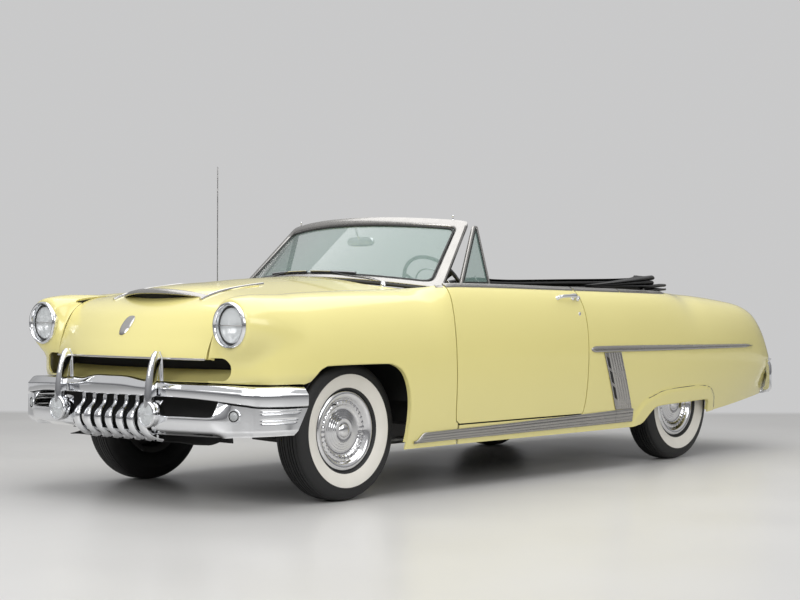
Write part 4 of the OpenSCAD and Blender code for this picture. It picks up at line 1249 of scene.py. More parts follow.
for g in (-1, 1):
    tag = "left" if g > 0 else "right"
    p = A([g * 0.60, -0.474 + 0.0, 1.428])
    p = shield(g * 0.885, 1.02) + A([0, 0.004, 0.004])
    turn("header_pin_" + tag, [(0, -0.008), (0.0075, -0.006), (0.0075, 0.004), (0.004, 0.008), (0.004, 0.022),
                               (0.0065, 0.026),
         (0.0045, 0.032), (0, 0.034)], p, (0, 0, 1), CHROME, n=20, slot="chrome")
    # Wipers parked along the foot of the glass
    pivot = shield(g * 0.66, -0.075) + A([0, -0.004, 0.010])
    tip = shield(g * 0.20, 0.075) + shield_normal(g * 0.2, 0.07) * 0.016
    turn("w", [(0, -0.01), (0.017, -0.006), (0.015, 0.005), (0.009, 0.014), (0, 0.018)], pivot, (0, -0.3, 1),
         CHROME, n=24,
         slot="chrome")
    arm = smooth_path([pivot + A([0, 0, 0.012]), shield(g * 0.55, 0.02) + A([0, -0.022, 0.008]),
                      shield(g * 0.36, 0.055) + A([0, -0.024, 0.002]), tip], 24)
    arm = sweep("w2", arm, [(-0.004, -0.0015), (0.004, -0.0015),
                (0.004, 0.0015), (-0.004, 0.0015)], CHROME, slot="chrome")
    blade_path = [shield(g * u, 0.072) + shield_normal(g * u, 0.07)
                  * 0.010 for u in np.linspace(0.02, 0.42, 18)]
    blade = sweep("w3", blade_path, [(-0.003, -0.007), (0.003, -0.007),
                  (0.0022, 0.006), (-0.0022, 0.006)], BLACK, slot="chrome")
    rib_path = [p + A([0, -0.006, 0.004]) for p in blade_path]
    rib = tube("w4", rib_path, 0.0028, CHROME, n=8, slot="chrome")
    join([bpy.data.objects["w"], arm, rib, blade], "wiper_" + tag)

# The seal under the frame, where it meets the cowl
foot_line = [shield(u, -0.045) + A([0, 0, 0.002]) for u in np.linspace(-1.0, 1.0, 61)]
tube("cowl_seal", foot_line, 0.008, RUBBER_AND_SHADE_LINE, n=10)

# Mirror
mirror_at = A([0, -0.700, 1.318])
rings = []
for k, d in ((0.02, -0.0165), (0.6, -0.0155), (0.92, -0.011), (1.0, -0.003),
             (1.0, 0.007), (0.955, 0.012), (0.90, 0.0125), (0.89, 0.010), (0.02, 0.010)):
    pts = []
    for a in np.linspace(0, 2 * math.pi, 64, endpoint=False):
        x = (0.070 + 0.028 * k) * math.copysign(abs(math.cos(a))
                                                ** 0.45, math.cos(a)) * (k ** 0.15 if k > .1 else k)
        z = 0.027 * k * math.copysign(abs(math.sin(a)) ** 0.75, math.sin(a))
        pts.append(mirror_at + A([x * (1 if k > 0.1 else 0.2), d, z]))
    rings.append(pts)
glass = loft("mirror_head", rings, CHROME, slot="mirror_chrome")
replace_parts(glass, "rear_view_mirror")
tube("mirror_stem", smooth_path([mirror_at + A([0, -0.008, 0.012]), mirror_at + A([0, -0.03, 0.045]), shield(0,
        0.93) + A([0, 0.006, 0])], 14),
     0.0055, CHROME, n=12, slot="mirror_chrome")


# ---------------------------------------------------------------- vent windows
VENT_FOOT, VENT_LEAN = placed((796, 0, 1072)), math.radians(17.3)
VENT = [(-612, 0), (-384, 0), (-374, 324), (-392, 324)]


def vent_point(y, h, out=0.0):
    return VENT_FOOT + A([-math.sin(VENT_LEAN) * h + math.cos(VENT_LEAN) * out, y,
                          math.cos(VENT_LEAN) * h + math.sin(VENT_LEAN) * out])


corners = [(y / 1000, z / 1000) for y, z in VENT]


def vent_loop(poly):
    pts = []
    for k in range(4):
        a, b = A(poly[k]), A(poly[(k + 1) % 4])
        n = 14
        for t in np.linspace(0, 1, n, endpoint=False):
            pts.append(tuple(a + (b - a) * t))
    return pts


outline = vent_loop(offset(corners, 0.003))
sec = [(-0.0085, -0.008), (0.0085, -0.008), (0.0095, 0.0),
       (0.006, 0.007), (0.0, 0.0085), (-0.006, 0.007), (-0.0095, 0.0)]
P = A([vent_point(y, z) for y, z in outline])
outn = vent_point(0, 0, 1) - vent_point(0, 0, 0)
T = np.roll(P, -1, 0) - np.roll(P, 1, 0)
T /= np.linalg.norm(T, axis=1)[:, None]
S = np.cross(T, outn)
R = P[:, None] + S[:, None] * A(sec)[None, :, :1] + outn * A(sec)[None, :, 1:]
vent_frame = outward(
    piece(
        "vent_frame_left",
        *
        loft_parts(
            R,
            cap=False,
            wrap=True),
            STEEL_TRIM,
            "door_left",
             "stainless"))
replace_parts(vent_frame, "vent_window_left")
post = tube("vent_post_left", [vent_point(-0.580, -0.02), vent_point(-0.398, 0.305)],
            0.006, BRIGHT_TRIM, n=10, body="door_left", slot="stainless", up=(1, 0, 0))
bpy.data.objects.remove(post)
grid = []
for k in np.linspace(0.0, 1, 8):
    a = A(corners[0]) + (A(corners[3]) - A(corners[0])) * k
    b = A(corners[1]) + (A(corners[2]) - A(corners[1])) * k
    grid.append([vent_point(*(a + (b - a) * t), out=0.002) for t in np.linspace(0, 1, 6)])
vent_pane = shell("vent_pane_left", grid, 0.004, GLASS, body="door_left", slot="glass")
seal_pts = vent_loop(offset(corners, -0.009))
P = A([vent_point(y, z, 0.004) for y, z in seal_pts])
T = np.roll(P, -1, 0) - np.roll(P, 1, 0)
T /= np.linalg.norm(T, axis=1)[:, None]
S = np.cross(T, outn)
R = P[:, None] + S[:, None] * A([(-0.004, -0.003), (0.004, -0.003), (0.003, 0.004), (-0.003, 0.004)])[None, :,
        :1] \
    + outn * A([(-0.004, -0.003), (0.004, -0.003), (0.003, 0.004), (-0.003, 0.004)])[None, :, 1:]
vent_seal = outward(
    piece(
        "vent_seal_left",
        *
        loft_parts(
            R,
            cap=False,
            wrap=True),
            RUBBER_AND_SHADE_LINE,
            "door_left",
             "stainless"))
latch = sweep("vent_latch_left", smooth_path([vent_point(-0.44, 0.012, -0.010), vent_point(-0.45, 0.03, -0.020),
                                              vent_point(-0.455, 0.06, -0.019)], 10),
              ring(0.005, 10, 0.6), CHROME, body="door_left", slot="stainless")
for ob in (vent_frame, vent_pane, vent_seal, latch):
    new = mirrored(ob, ob.name.replace("left", "right"), "door_right")
    if ob is vent_frame:
        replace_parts(new, "vent_window_right")


# ---------------------------------------------------------------- mouldings, handles and side trim
def side_strip(name, path, section, mat, body="car", slot="stainless", lift=0.0, sections=None):
    """A strip along the side: the path is (y, z), the section (across, out)."""
    found = [side_at(y, z, lift) for y, z in path]
    return edge_trim(name, [p for p, _ in found], sections if sections is not None else section, [n for _,
            n in found], mat,
                     body=body, slot=slot)


BELT_SECTION = [(-0.0135, -0.004), (-0.0125, 0.003), (-0.006, 0.0055), (-0.002, 0.004), (0.003, 0.0075), (0.009,
        0.009),
                (0.0135, 0.004), (0.0145, -0.004)]


def belt_path(y0, y1, n):
    ys = np.linspace(y0, y1, n)
    return [(y, np.interp(y, [-0.95, -0.55, -0.15, 0.25, 0.65, 1.05, 1.21],
             [1.056, 1.058, 1.055, 1.048, 1.042, 1.034, 1.030])) for y in ys]


def belt_strip(name, y0, y1, body, n=50, taper=False):
    """The moulding along the top edge of the side."""
    pts, sections, normals = [], [], []
    for k, (y, z) in enumerate(belt_path(y0, y1, n)):
        s = np.interp((y - MID) * 1000, [r[1] for r in SIDE[4:]], range(4, 25))
        top, low = side(s, 1.985), side(s, 1.86)
        out = A([0.62, 0, 0.78])
        pts.append(low * 0.45 + top * 0.55 + out * 0.001)
        normals.append(out)
        w = 1.0 if not taper else max(0.12, 1 - step(y, y1 - 0.05, y1 + 0.002))
        sections.append([(a * 1.35 * w, b * w if b > 0 else b) for a, b in BELT_SECTION])
    return edge_trim(name, pts, sections, normals, STEEL_TRIM, body=body, slot="stainless")


strips = [belt_strip("belt_front_left", -0.985, -0.955, "car", 6), belt_strip("belt_door_left", -0.944, 0.172,
        "door_left", 60),
          belt_strip("belt_quarter_left", 0.186, 0.640, "car", 40), belt_strip("belt_rear_left", 0.650, 1.205,
                  "car", 44, True)]
for ob in strips:
    mirrored(ob, ob.name.replace("left", "right"), "door_right" if "door" in ob.name else "car")

# Door handle: a bar on two posts with a push button, and a lock below it


def handle_parts():
    y0, y1, z = -0.030, 0.150, 1.002
    pts = []
    for t in np.linspace(0, 1, 30):
        y = y0 + (y1 - y0) * t
        p, n = side_at(y, z - 0.004 * (1 - t))
        pts.append(p + n * (0.030 - 0.022 * (abs(2 * t - 1) ** 5)))
    scale = [[0.0065 + 0.004 * step(t, 0.55, 0.8), 0.0095 + 0.004 * step(t, 0.5, 0.75)]
             for t in np.linspace(0, 1, 30)]
    grip = sweep("h", pts, ring(1.0, 18), CHROME, up=(0, 0, 1), scale=scale, body="door_left", slot="chrome")
    out = [grip]
    for y in (y0 + 0.012, y1 - 0.022):
        p, n = side_at(y, z - 0.001)
        out.append(turn("h", [(0, -0.004), (0.014, -0.002), (0.0125, 0.004), (0.009, 0.012), (0.008, 0.026), (0,
                0.030)], p, n, CHROME,
                        n=22, body="door_left", slot="chrome"))
    p, n = side_at(y1 + 0.010, z - 0.006)
    out.append(turn("h", [(0, -0.004), (0.017, -0.002), (0.0165, 0.008), (0.013, 0.012), (0.0125, 0.020),
                          (0.008, 0.023), (0, 0.0235)], p, n,
                    CHROME, n=26, body="door_left", slot="chrome"))
    return join(out, "door_handle_left")


handle = handle_parts()
mirrored(handle, "door_handle_right", "door_right")
p, n = side_at(0.155, 0.912)
lock = turn("door_lock_left", [(0, -0.002), (0.0115, -0.001), (0.0110, 0.003), (0.008, 0.005), (0.007, 0.0045),
                               (0, 0.005)], p, n, CHROME, n=24,
            body="door_left", slot="chrome")
mirrored(lock, "door_lock_right", "door_right")

# Spear along the quarter: its nose is a teardrop
SPEAR = [(0.245, 0.7075), (0.262, 0.7080), (0.30, 0.7085), (0.45, 0.7085),
         (0.75, 0.7065), (1.20, 0.7035), (1.65, 0.7005), (2.17, 0.697)]
sp = smooth_path(SPEAR, 120)
sections = []
for y, z in sp:
    k = math.sqrt(max(1 - (1 - min((y - 0.245) / 0.05, 1)) ** 2, 0.0))
    half = (0.0185 * k) * (1 - 0.34 * step(y, 0.6, 2.17)) * max(0.10, 1 - step(y, 2.06, 2.18) * 0.9)
    half = max(half, 0.002)
    sections.append([(-half, -0.003), (-half * 0.93, 0.004 * k + .001), (-half * 0.55, 0.010 * k + .001),
                     (-0.001, 0.0125 * k + .001), (half * 0.12, 0.0085 * k + .001),
                     (half * 0.5, 0.0095 * k + .001), (half * 0.92, 0.005 * k + .001), (half, -0.003)])
spear = side_strip("quarter_spear_left", sp, None, STEEL_TRIM, sections=sections)
mirrored(spear, "quarter_spear_right")

# The fluted panel that leans back from the spear down to the rocker moulding


def flute_point(a, t, lift=0.0):
    """a across from the front edge (0) to the rear (1), t down from the spear (0) to the foot (1)."""
    front = bezier(A([0.367, 0.688]), A([0.395, 0.60]), A([0.455, 0.47]), A([0.510, 0.352]), t)
    rear = bezier(A([0.540, 0.688]), A([0.565, 0.60]), A([0.625, 0.47]), A([0.676, 0.352]), t)
    y, z = front + (rear - front) * a
    p, n = side_at(y, z)
    return p + n * lift


def flute_lift(a):
    """A raised frame at each side, a slotted front band and five flutes behind it."""
    edge = math.exp(-((a - 0.015) / 0.02) ** 2) + math.exp(-((a - 0.985) / 0.02) ** 2)
    ribs = 0.0
    if 0.25 < a < 0.97:
        ribs = abs(math.sin(math.pi * (a - 0.25) / 0.72 * 5)) ** 0.7
    return 0.003 + 0.0035 * edge + 0.0045 * ribs + (0.004 if 0.04 < a < 0.20 else 0.0)


rows = []
for t in np.linspace(0, 1, 34):
    rows.append([flute_point(a, t, flute_lift(a)) for a in np.linspace(0, 1, 100)])
fluted = outward(shell("fluted_panel_left", rows, 0.005, STEEL_TRIM, slot="stainless", smooth=30))
mirrored(fluted, "fluted_panel_right")
# The front band's slots are flat black patches: painted shade inside them
slots = []
for t0, t1 in ((0.10, 0.30), (0.36, 0.56), (0.62, 0.82)):
    rows = []
    for t in np.linspace(t0, t1, 10):
        rows.append([flute_point(a, t + 0.02 * (a - 0.12) / 0.07, 0.0078)
                    for a in np.linspace(0.055, 0.185, 6)])
    slots.append(outward(shell("slot", rows, 0.002, FLAT_BLACK_AND_SHADE, slot="stainless")))
mirrored(join(slots, "panel_slots_left"), "panel_slots_right")

# Rocker moulding with level flutes, from the front fender to the fluted panel


def rocker_rows(y0, y1, n):
    rows = []
    for y in np.linspace(y0, y1, n):
        lo = np.interp(y, [-1.25, -0.5, 0.69], [0.263, 0.266, 0.273])
        hi = np.interp(y, [-1.25, -0.5, 0.69], [0.314, 0.326, 0.352])
        if y < -1.18:
            hi = lo + (hi - lo) * max(0.25, step(y, -1.262, -1.18))
        line = []
        for k in np.linspace(0, 1, 26):
            p, nn = side_at(y, lo + (hi - lo) * k)
            lift = 0.004 + 0.0040 * math.sin(math.pi * k) ** 0.25 + 0.0022 * \
            abs(math.sin(math.pi * k * 4)) ** 0.8
            line.append(p + nn * lift)
        rows.append(line)
    return rows


rocker_trim = outward(shell("rocker_moulding_left", rocker_rows(-1.262, 0.512, 90),
                      0.004, STEEL_TRIM, slot="stainless", smooth=30))
mirrored(rocker_trim, "rocker_moulding_right")
foot_trim = outward(
    shell(
        "panel_foot_left",
        rocker_rows(
            0.514,
            0.690,
            16),
            0.004,
            STEEL_TRIM,
            slot="stainless",
             smooth=30))
mirrored(foot_trim, "panel_foot_right")


# ---------------------------------------------------------------- cabin
def plate(name, P, thick, mat, **kw):
    """A thin panel over a grid of table millimetres."""
    return shell(name, A([[placed(p) for p in r] for r in P]), thick, mat, **kw)


def superellipse(n, e=4.0):
    out = []
    for k in range(n):
        a = 2 * math.pi * k / n
        c, s = math.cos(a), math.sin(a)
        out.append((math.copysign(abs(c) ** (2 / e), c), math.copysign(abs(s) ** (2 / e), s)))
    return A(out)


def pad(name, x0, x1, middle, way, out, half, thick, body="car", seams=(), border=70.0, crown=10.0, flat=0.35,
        n=56):
    """A crowned cushion from x0 to x1. Its section has half its length along way and half its thickness along out;
    the sewn channels run along way, inside the border."""
    sec = superellipse(n, 5.0)
    way, out = A(way, float) / np.linalg.norm(way), A(out, float) / np.linalg.norm(out)
    rings = []
    wide = (x1 - x0) / 2
    places = sorted(set([x0 + (x1 - x0) * 0.5 * (1 - math.cos(math.pi * k / 28)) for k in range(29)]
                        + [s + d for s in seams for d in (-14, -7, -3, 0, 3, 7, 14)]))
    for x in places:
        e = abs((x - (x0 + x1) / 2) / wide)
        k = max(1 - e ** 9, 0) ** 0.32
        pull = 1 - 0.03 * math.sin(math.pi * min(e, 1)) - 0.10 * (1 - max(1 - e ** 14, 0) ** 0.4)
        seam = max([math.exp(-((x - s) / 5.0) ** 2) for s in seams] or [0])
        ring = []
        for a, b in sec:
            swell = crown * (1 - a * a) * (1 - min(e, 1) ** 4) * (1 if b > 0 else flat * 0.3)
            channel = -9.0 * seam * step(half * (1 - abs(a)), border * 0.6, border)
            crease = -4.0 * math.exp(-((half * (1 - abs(a)) - border) / 5.0) ** 2) * (1 if b > 0.5 else 0) * k
            h = b * thick * max(k, 0.02) + (swell + (channel + crease) * (1 if b > 0.3 else 0)) * k
            ring.append(placed(A([x, 0, 0]) + A([0, middle[0], middle[1]]) + A([0, *way]) * a * half * max(pull,
                    0.2)
                               + A([0, *out]) * h))
        rings.append(ring)
    ob = loft(name, rings, HIDE, body=body, slot="hide", smooth=70)
    # The welt, sewn round the face a little under its edge
    path = []
    for t in np.linspace(0, 2 * math.pi, 96, endpoint=False):
        c, s = math.cos(t), math.sin(t)
        u = math.copysign(abs(c) ** 0.25, c)
        v = math.copysign(abs(s) ** 0.25, s)
        path.append(placed(A([(x0 + x1) / 2 + u * (wide - 3), middle[0], middle[1]]) + A([0,
                *way]) * v * half * 0.985
                           + A([0, *out]) * thick * 0.42))
    tube(name + "_welt", path, 0.0042, HIDE_EDGE, n=8, wrap=True, up=(0, *out), body=body)
    return ob


HIDE_EDGE = finish("hide_welt", (0.045, 0.042, 0.04), 0.34, vary=0.2, grain=60, bump=0.3, fine=700)
PITCH = 62.0


def seams_between(a, b):
    count = max(int(round((b - a) / PITCH)), 1)
    return [a + (b - a) * (k + 0.5) / count for k in range(count)]


cushion = pad("front_seat_cushion", -662, 662, (-20, 530), (1, 0.04), (-0.04, 1), 278, 80,
              seams=seams_between(-560, -70) + seams_between(70, 560), border=64, crown=12)
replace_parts(cushion, "front_seat")
for hand, x0, x1 in (("left", 10, 662), ("right", -662, -10)):
    back = pad("seat_back_pad_" + hand, x0, x1, (345, 811), (110, 300), (-300, 110), 156, 50,
               "seat_back_" + hand,
               seams=seams_between(min(abs(x0), abs(x1)) + 66, max(abs(x0), abs(x1)) - 66) if hand == "left"
               else [-s for s in seams_between(76, 596)], border=58, crown=7)
    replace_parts(back, "seat_back_" + hand)
    # The hard back of the seat
    mid = (x0 + x1) / 2
    plate("seat_back_shell_" + hand,
          [[(mid + (x1 - x0) / 2 * 0.93 * u, 345 + 110 * v / 2 * 0.94 + 48 + 5 * (1 - u * u) * (1 - v * v),
             811 + 300 * v / 2 * 0.94 - 17) for v in np.linspace(-1, 1, 15)]
           for u in np.linspace(-1, 1, 17)], 0.006, HIDE,
          body="seat_back_" + hand)
for k, sgn in (("left", 1), ("right", -1)):
    tube("seat_track_" + k, [placed((sgn * 570, y, z)) for y, z in
                             [(-226, 356), (-220, 400), (-190, 432), (0, 440), (150, 436), (200, 420), (214,
                                     356)]],
         0.013, CHASSIS, n=14, up=(1, 0, 0))
    tube("seat_rail_" + k, [placed((sgn * 570, y, 357)) for y in (-232, -100, 100, 228)], 0.009, STEEL_TRIM,
         n=10,
         up=(1, 0, 0))

rear_cushion = pad("rear_seat_cushion", -566, 566, (872, 588), (470, -40), (40, 470), 232, 36,
                   seams=seams_between(-480, -60) + seams_between(60, 480), border=56, crown=9)
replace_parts(rear_cushion, "rear_seat")
pad("rear_seat_back", -566, 566, (1106, 803), (60, 315), (-315, 60), 160, 42,
    seams=seams_between(-480, -60) + seams_between(60, 480), border=56, crown=7)
pad("rear_seat_front", -562, 562, (735, 480), (0, 1), (-1, 0), 76, 92, border=24, crown=2)
for k, sgn in (("left", 1), ("right", -1)):
    x0, x1 = sorted((sgn * 582, sgn * 764))
    pad("rear_arm_rest_" + k, x0, x1, (886, 700), (1, 0), (0, 1), 222, 96, border=30, crown=8)

# Linings of the doors and of the body beside the rear seat, with sewn pleats


def lining(name, y0, y1, x_at, z0, z1, body):
    P = []
    for y in np.linspace(y0, y1, max(int((y1 - y0) / 8), 8)):
        col = []
        for z in np.linspace(z0, z1, 34):
            pleat = 5.5 * abs(math.sin(math.pi * (y - y0) / 52)) ** 0.5 * step(z, z0 + 160, z0 + 176) \
                * (1 - step(z, z1 - 150, z1 - 134)) if y0 + 60 < y < y1 - 60 else 0
            col.append((x_at(y) - pleat, y, z))
        P.append(col)
    return plate(name, P, 0.006, HIDE, body=body)


card = lining("door_lining_left", -600, 300, lambda y: 838, 400, 1000, "door_left")
mirrored(card, "door_lining_right", "door_right")
arm = sweep("door_pull_left", smooth_path([placed(p) for p in [(836, -150, 800), (800, -130, 800), (792, -60,
        800),
            (792, 60, 800), (800, 130, 800), (836, 150, 800)]], 40), superellipse(16, 3) * (0.016, 0.022),
            HIDE_EDGE,
            body="door_left")
mirrored(arm, "door_pull_right", "door_right")
crank = sweep("door_crank_left", smooth_path([placed(p) for p in [(834, -330, 700), (818, -330, 700), (812,
        -350, 680),
              (806, -372, 655), (790, -374, 652)]], 24), ring(0.008, 12), CHROME, body="door_left")
mirrored(crank, "door_crank_right", "door_right")
rear_card = lining("rear_lining_left", 560, 1200, lambda y: 776 - 0.06 * max(y - 900, 0), 400, 990, "car")
mirrored(rear_card, "rear_lining_right", "car")

# The firewall, the kick panels and the cabin's carpet
plate("firewall", [[(x, -966 + (6 * math.cos(x / 60) if abs(x) > 200 else 3), z) for z in np.linspace(352, 1010,
        20)]
                   for x in np.linspace(-800, 800, 90)], -0.004, FLAT_BLACK_AND_SHADE)
for k, sgn in (("left", 1), ("right", -1)):
    plate("kick_panel_" + k, [[(sgn * (800 + 3 * math.sin(z / 40)), y, z) for z in np.linspace(352, 1000, 16)]
                              for y in np.linspace(-960, -780, 12)], 0.004 * sgn, HIDE)
rng = np.random.default_rng(5)
pile = rng.normal(0, 0.9, (60, 90))
P = []
for i, x in enumerate(np.linspace(-792, 792, 60)):
    colm = []
    for j, y in enumerate(np.linspace(-950, 852, 90)):
        hump = 120 * math.exp(-(x / 120) ** 4) * (0.35 + 0.65 * step(-y, -400, 500))
        toe = 150 * step(-y, 780, 960) ** 1.4
        colm.append((x, y, 353 + hump + toe + pile[i, j]))
    P.append(colm)
plate("cabin_carpet", P, -0.003, CARPET)

# Dashboard: a rolled top in the body's colour, a bright band, dials, a speaker grille and a glove box
DASH = [(-792, 984), (-740, 998), (-690, 1004), (-645, 1005), (-615, 1000), (-600, 988), (-597, 970), (-600,
        930),
        (-607, 890), (-622, 845), (-640, 805), (-652, 794), (-664, 794), (-670, 802), (-652, 840), (-634, 888),
        (-620, 960), (-640, 984), (-700, 984), (-792, 972)]
dash_rings = []
for x in np.linspace(-752, 752, 49):
    sink = 18 * (abs(x) / 752) ** 6
    dash_rings.append([placed((x, y - sink * 0.5, z - sink)) for y, z in DASH])
dash = loft("dash_panel", dash_rings, PAINT, smooth=45)
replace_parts(dash, "dashboard")


def dash_at(x, z, off=0.0):
    y = np.interp(z, [805, 845, 890, 930, 970], [-640, -622, -607, -600, -597])
    return placed((x, y + off, z))


FACE = (0, 0.985, 0.17)
turn("speed_dial", [(0, 0), (0.070, 0), (0.074, 0.002)], dash_at(380, 905, 2), FACE, BLACK, n=64)
turn("speed_bezel", [(0.073, 0.0), (0.080, 0.0), (0.083, 0.006), (0.079, 0.012), (0.073, 0.010), (0.071,
        0.004)],
     dash_at(380, 905, 0), FACE, CHROME, n=64)
marks = []
for k in range(11):
    a = math.radians(-130 + 26 * k)
    c = Vector(dash_at(380, 905, 5))
    up = Vector((0, -0.17, 0.985))
    d = Vector((1, 0, 0)) * -math.sin(a) + up * math.cos(a)
    marks.append(tube("mark", [c + d * 0.052, c + d * 0.064], 0.0016, HIDE_PALE, n=6, up=FACE))
join(marks, "speed_marks")
tube(
    "speed_needle", [
        Vector(
            dash_at(
                380, 905, 7)), Vector(
                    dash_at(
                        348, 940, 7))], 0.0012, LENS_RED, n=6, up=FACE)
for k, (x, r) in enumerate([(248, 0.034), (512, 0.034)]):
    turn(f"small_dial_{k}", [(0, 0), (r - 0.002, 0), (r, 0.002)], dash_at(x, 905, 2), FACE, BLACK, n=40)
    turn(f"small_bezel_{k}", [(r, 0), (r + 0.005, 0), (r + 0.006, 0.005), (r, 0.008), (r - 0.002, 0.003)],
         dash_at(x, 905, 0), FACE, CHROME, n=40)
sweep("dash_band", [placed((x, -599.5 - 9 * (abs(x) / 752) ** 6, 962 - 18 * (abs(x) / 752) ** 6))
                    for x in np.linspace(-748, 748, 60)], superellipse(12, 3) * (0.005, 0.007), BRIGHT_TRIM)
slats = [tube("slat", [dash_at(x, 852, 4), dash_at(x, 890, 4), dash_at(x, 930, 4)], 0.0035, BRIGHT_TRIM, n=8)
         for x in np.arange(-110, 111, 20)]
join(slats, "speaker_slats")
turn("clock_bezel", [(0, 0.001), (0.030, 0.001), (0.034, 0), (0.038, 0.004), (0.034, 0.008), (0.030, 0.004)],
     dash_at(-560, 905, 1), FACE, CHROME, n=40)
sweep("glove_box_edge", [dash_at(-310 + 95 * math.copysign(abs(math.cos(t)) ** 0.35, math.cos(t)),
                                 905 + 38 * math.copysign(abs(math.sin(t)) ** 0.35, math.sin(t)), 2)
                         for t in np.linspace(0, 2 * math.pi, 64, endpoint=False)], ring(0.002, 8), RUBBER_AND_SHADE_LINE,
                         wrap=True,
      up=FACE)
for k, x in enumerate((-180, -150, 150, 180, 590, 630)):
    turn(f"dash_knob_{k}", [(0, 0.024), (0.008, 0.024), (0.011, 0.020), (0.011, 0.012), (0.005, 0.010), (0.005,
            0.0)],
         dash_at(x, 842, 2), FACE, CHROME, n=20)

# Steering wheel: a grooved rim, three spokes, a horn ring and a bright hub
HUB = placed((380, -354, 1050))
AXIS = A([0, math.cos(math.radians(30)), math.sin(math.radians(30))])
UPW = A([0, -AXIS[2], AXIS[1]])


def on_wheel(r, a, h):
    return HUB + A([1, 0, 0]) * r * math.cos(a) + UPW * r * math.sin(a) + AXIS * h


rim_rings = []
for k in range(144):
    a = 2 * math.pi * k / 144
    grip = 0.0 if k % 4 else 0.0012
    rim_rings.append([on_wheel(0.205 + (0.0105 - (grip if math.cos(b) < 0.3 else 0)) * math.cos(b), a,
                               (0.0115 - grip) * math.sin(b)) for b in np.linspace(0, 2 * math.pi, 16,
                                       endpoint=False)])
rim = loft("steering_rim", rim_rings, BLACK, wrap=True, body="steering_wheel", smooth=50)
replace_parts(rim, "steering_wheel")
for k, a in enumerate((-math.pi / 2, math.pi / 6, 5 * math.pi / 6)):
    sweep(f"steering_spoke_{k}", [on_wheel(r, a, h) for r, h in ((0.028, -0.012), (0.07, -0.010), (0.12,
            -0.011),
                                                                 (0.17, -0.007), (0.200, -0.001))],
          superellipse(14, 3) * (0.010, 0.0045), BLACK, up=AXIS, body="steering_wheel",
          scale=[(1.5, 1.2), (1.1, 1), (0.95, 1), (0.95, 1), (1.2, 1.1)])
sweep("horn_ring", [on_wheel(0.128, a, 0.004) for a in np.linspace(0, 2 * math.pi, 72, endpoint=False)],
      ring(0.0045, 10), CHROME, wrap=True, up=AXIS, body="steering_wheel")
for k, a in enumerate((math.radians(200), math.radians(340))):
    sweep(f"horn_arm_{k}", [on_wheel(r, a, 0.004) for r in (0.03, 0.08, 0.127)], superellipse(10, 3) * (0.006,
            0.003),
          CHROME, up=AXIS, body="steering_wheel")
turn("steering_hub", [(0, 0.030), (0.016, 0.029), (0.030, 0.022), (0.036, 0.010), (0.036, 0.0), (0.034, -0.030),
                      (0.026, -0.034)], HUB, AXIS, CHROME, n=40, body="steering_wheel")
shift = smooth_path([HUB - AXIS * 0.10 + A([-0.03, 0, 0]), HUB - AXIS * 0.08 + A([-0.10, 0, 0.01]),
                     HUB - AXIS * 0.055 + A([-0.185, 0, 0.015])], 20)
tube("gear_lever", shift, 0.0055, CHROME, n=10)
turn("gear_knob", [(0, 0.018), (0.009, 0.015), (0.013, 0.006), (0.012, -0.006), (0.006, -0.013)], shift[-1],
     (-1, 0, 0.1), BLACK, n=20)
for k, x in enumerate((300, 430)):
    plate(f"pedal_{k}", [[(x + u, -770 + 3 * math.cos(v / 10), 470 + v) for v in np.linspace(-34, 34, 9)]
                         for u in np.linspace(-26, 26, 9)], 0.010, RUBBER_AND_SHADE_LINE)


# ---------------------------------------------------------------- folded top
def pleated(width, height, layers, thick=0.0016, seed=3):
    """The outline of a sheet folded to and fro in flat layers, in (across, up), with its round folds."""
    rnd = np.random.default_rng(seed)
    gap = height / (layers - 1)
    line = []
    for k in range(layers):
        z = -height / 2 + gap * k
        way = 1 if k % 2 == 0 else -1
        reach = width / 2 * (1 - 0.10 * rnd.random())
        for u in np.linspace(-reach, reach, 7):
            line.append((way * u, z + 0.16 * gap * math.sin(u * 60 + k)))
        if k < layers - 1:
            for a in np.linspace(-math.pi / 2, math.pi / 2, 7)[1:-1]:
                line.append((way * (reach + gap * 0.5 * math.cos(a)), z + gap / 2 + gap / 2 * math.sin(a)))
    L = A(line)
    T = np.gradient(L, axis=0)
    N = np.stack([-T[:, 1], T[:, 0]], 1) / np.linalg.norm(T, axis=1)[:, None]
    return np.concatenate([L + N * thick / 2, (L - N * thick / 2)[::-1]])


def u_path(front, side_x, corner, back_y, z_front, z_corner, z_mid, n=60):
    """Round the back of the cabin, from one arm's front end to the other's."""
    pts = [(side_x, front, z_front), (side_x + 2, (front + corner) / 2, (z_front + z_corner) / 2),
           (side_x, corner, z_corner), (side_x - 26, corner + 80,
                                        z_corner + 4), (side_x - 110, back_y - 40, z_mid + 6),
           (side_x - 300, back_y - 6, z_mid), (0, back_y, z_mid)]
    half = smooth_path([placed(p) for p in pts], n)
    other = half[:-1][::-1].copy()
    other[:, 0] *= -1
    return np.concatenate([half, other])


def swell_along(n, ends, full, rise):
    t = np.abs(np.linspace(-1, 1, n))
    k = np.clip((1 - t) / rise, 0, 1)
    k = k * k * (3 - 2 * k)
    return ends + (full - ends) * k


# The pleats that stand up round the back, thin along the arms
section = pleated(0.118, 0.074, 6)
path = u_path(650, 712, 1190, 1420, 1074, 1102, 1090)
grow = swell_along(len(path), 0.40, 1.0, 0.42)
tall = swell_along(len(path), 0.22, 1.0, 0.50)
pleats = sweep("top_pleats", path, section, TOP_CLOTH, scale=np.stack(
    [grow, tall], 1), slot="top_cloth", smooth=80)
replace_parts(pleats, "folded_top")
# A lower roll that ends in a round lobe behind the pleats
section2 = pleated(0.105, 0.038, 4, seed=8)
path2 = u_path(1180, 716, 1340, 1530, 1058, 1070, 1066)
roll = sweep("top_roll", path2, section2, TOP_CLOTH, scale=np.stack([swell_along(len(path2), 0.62, 1.0,
        0.2)] * 2, 1),
             slot="top_cloth", smooth=80)
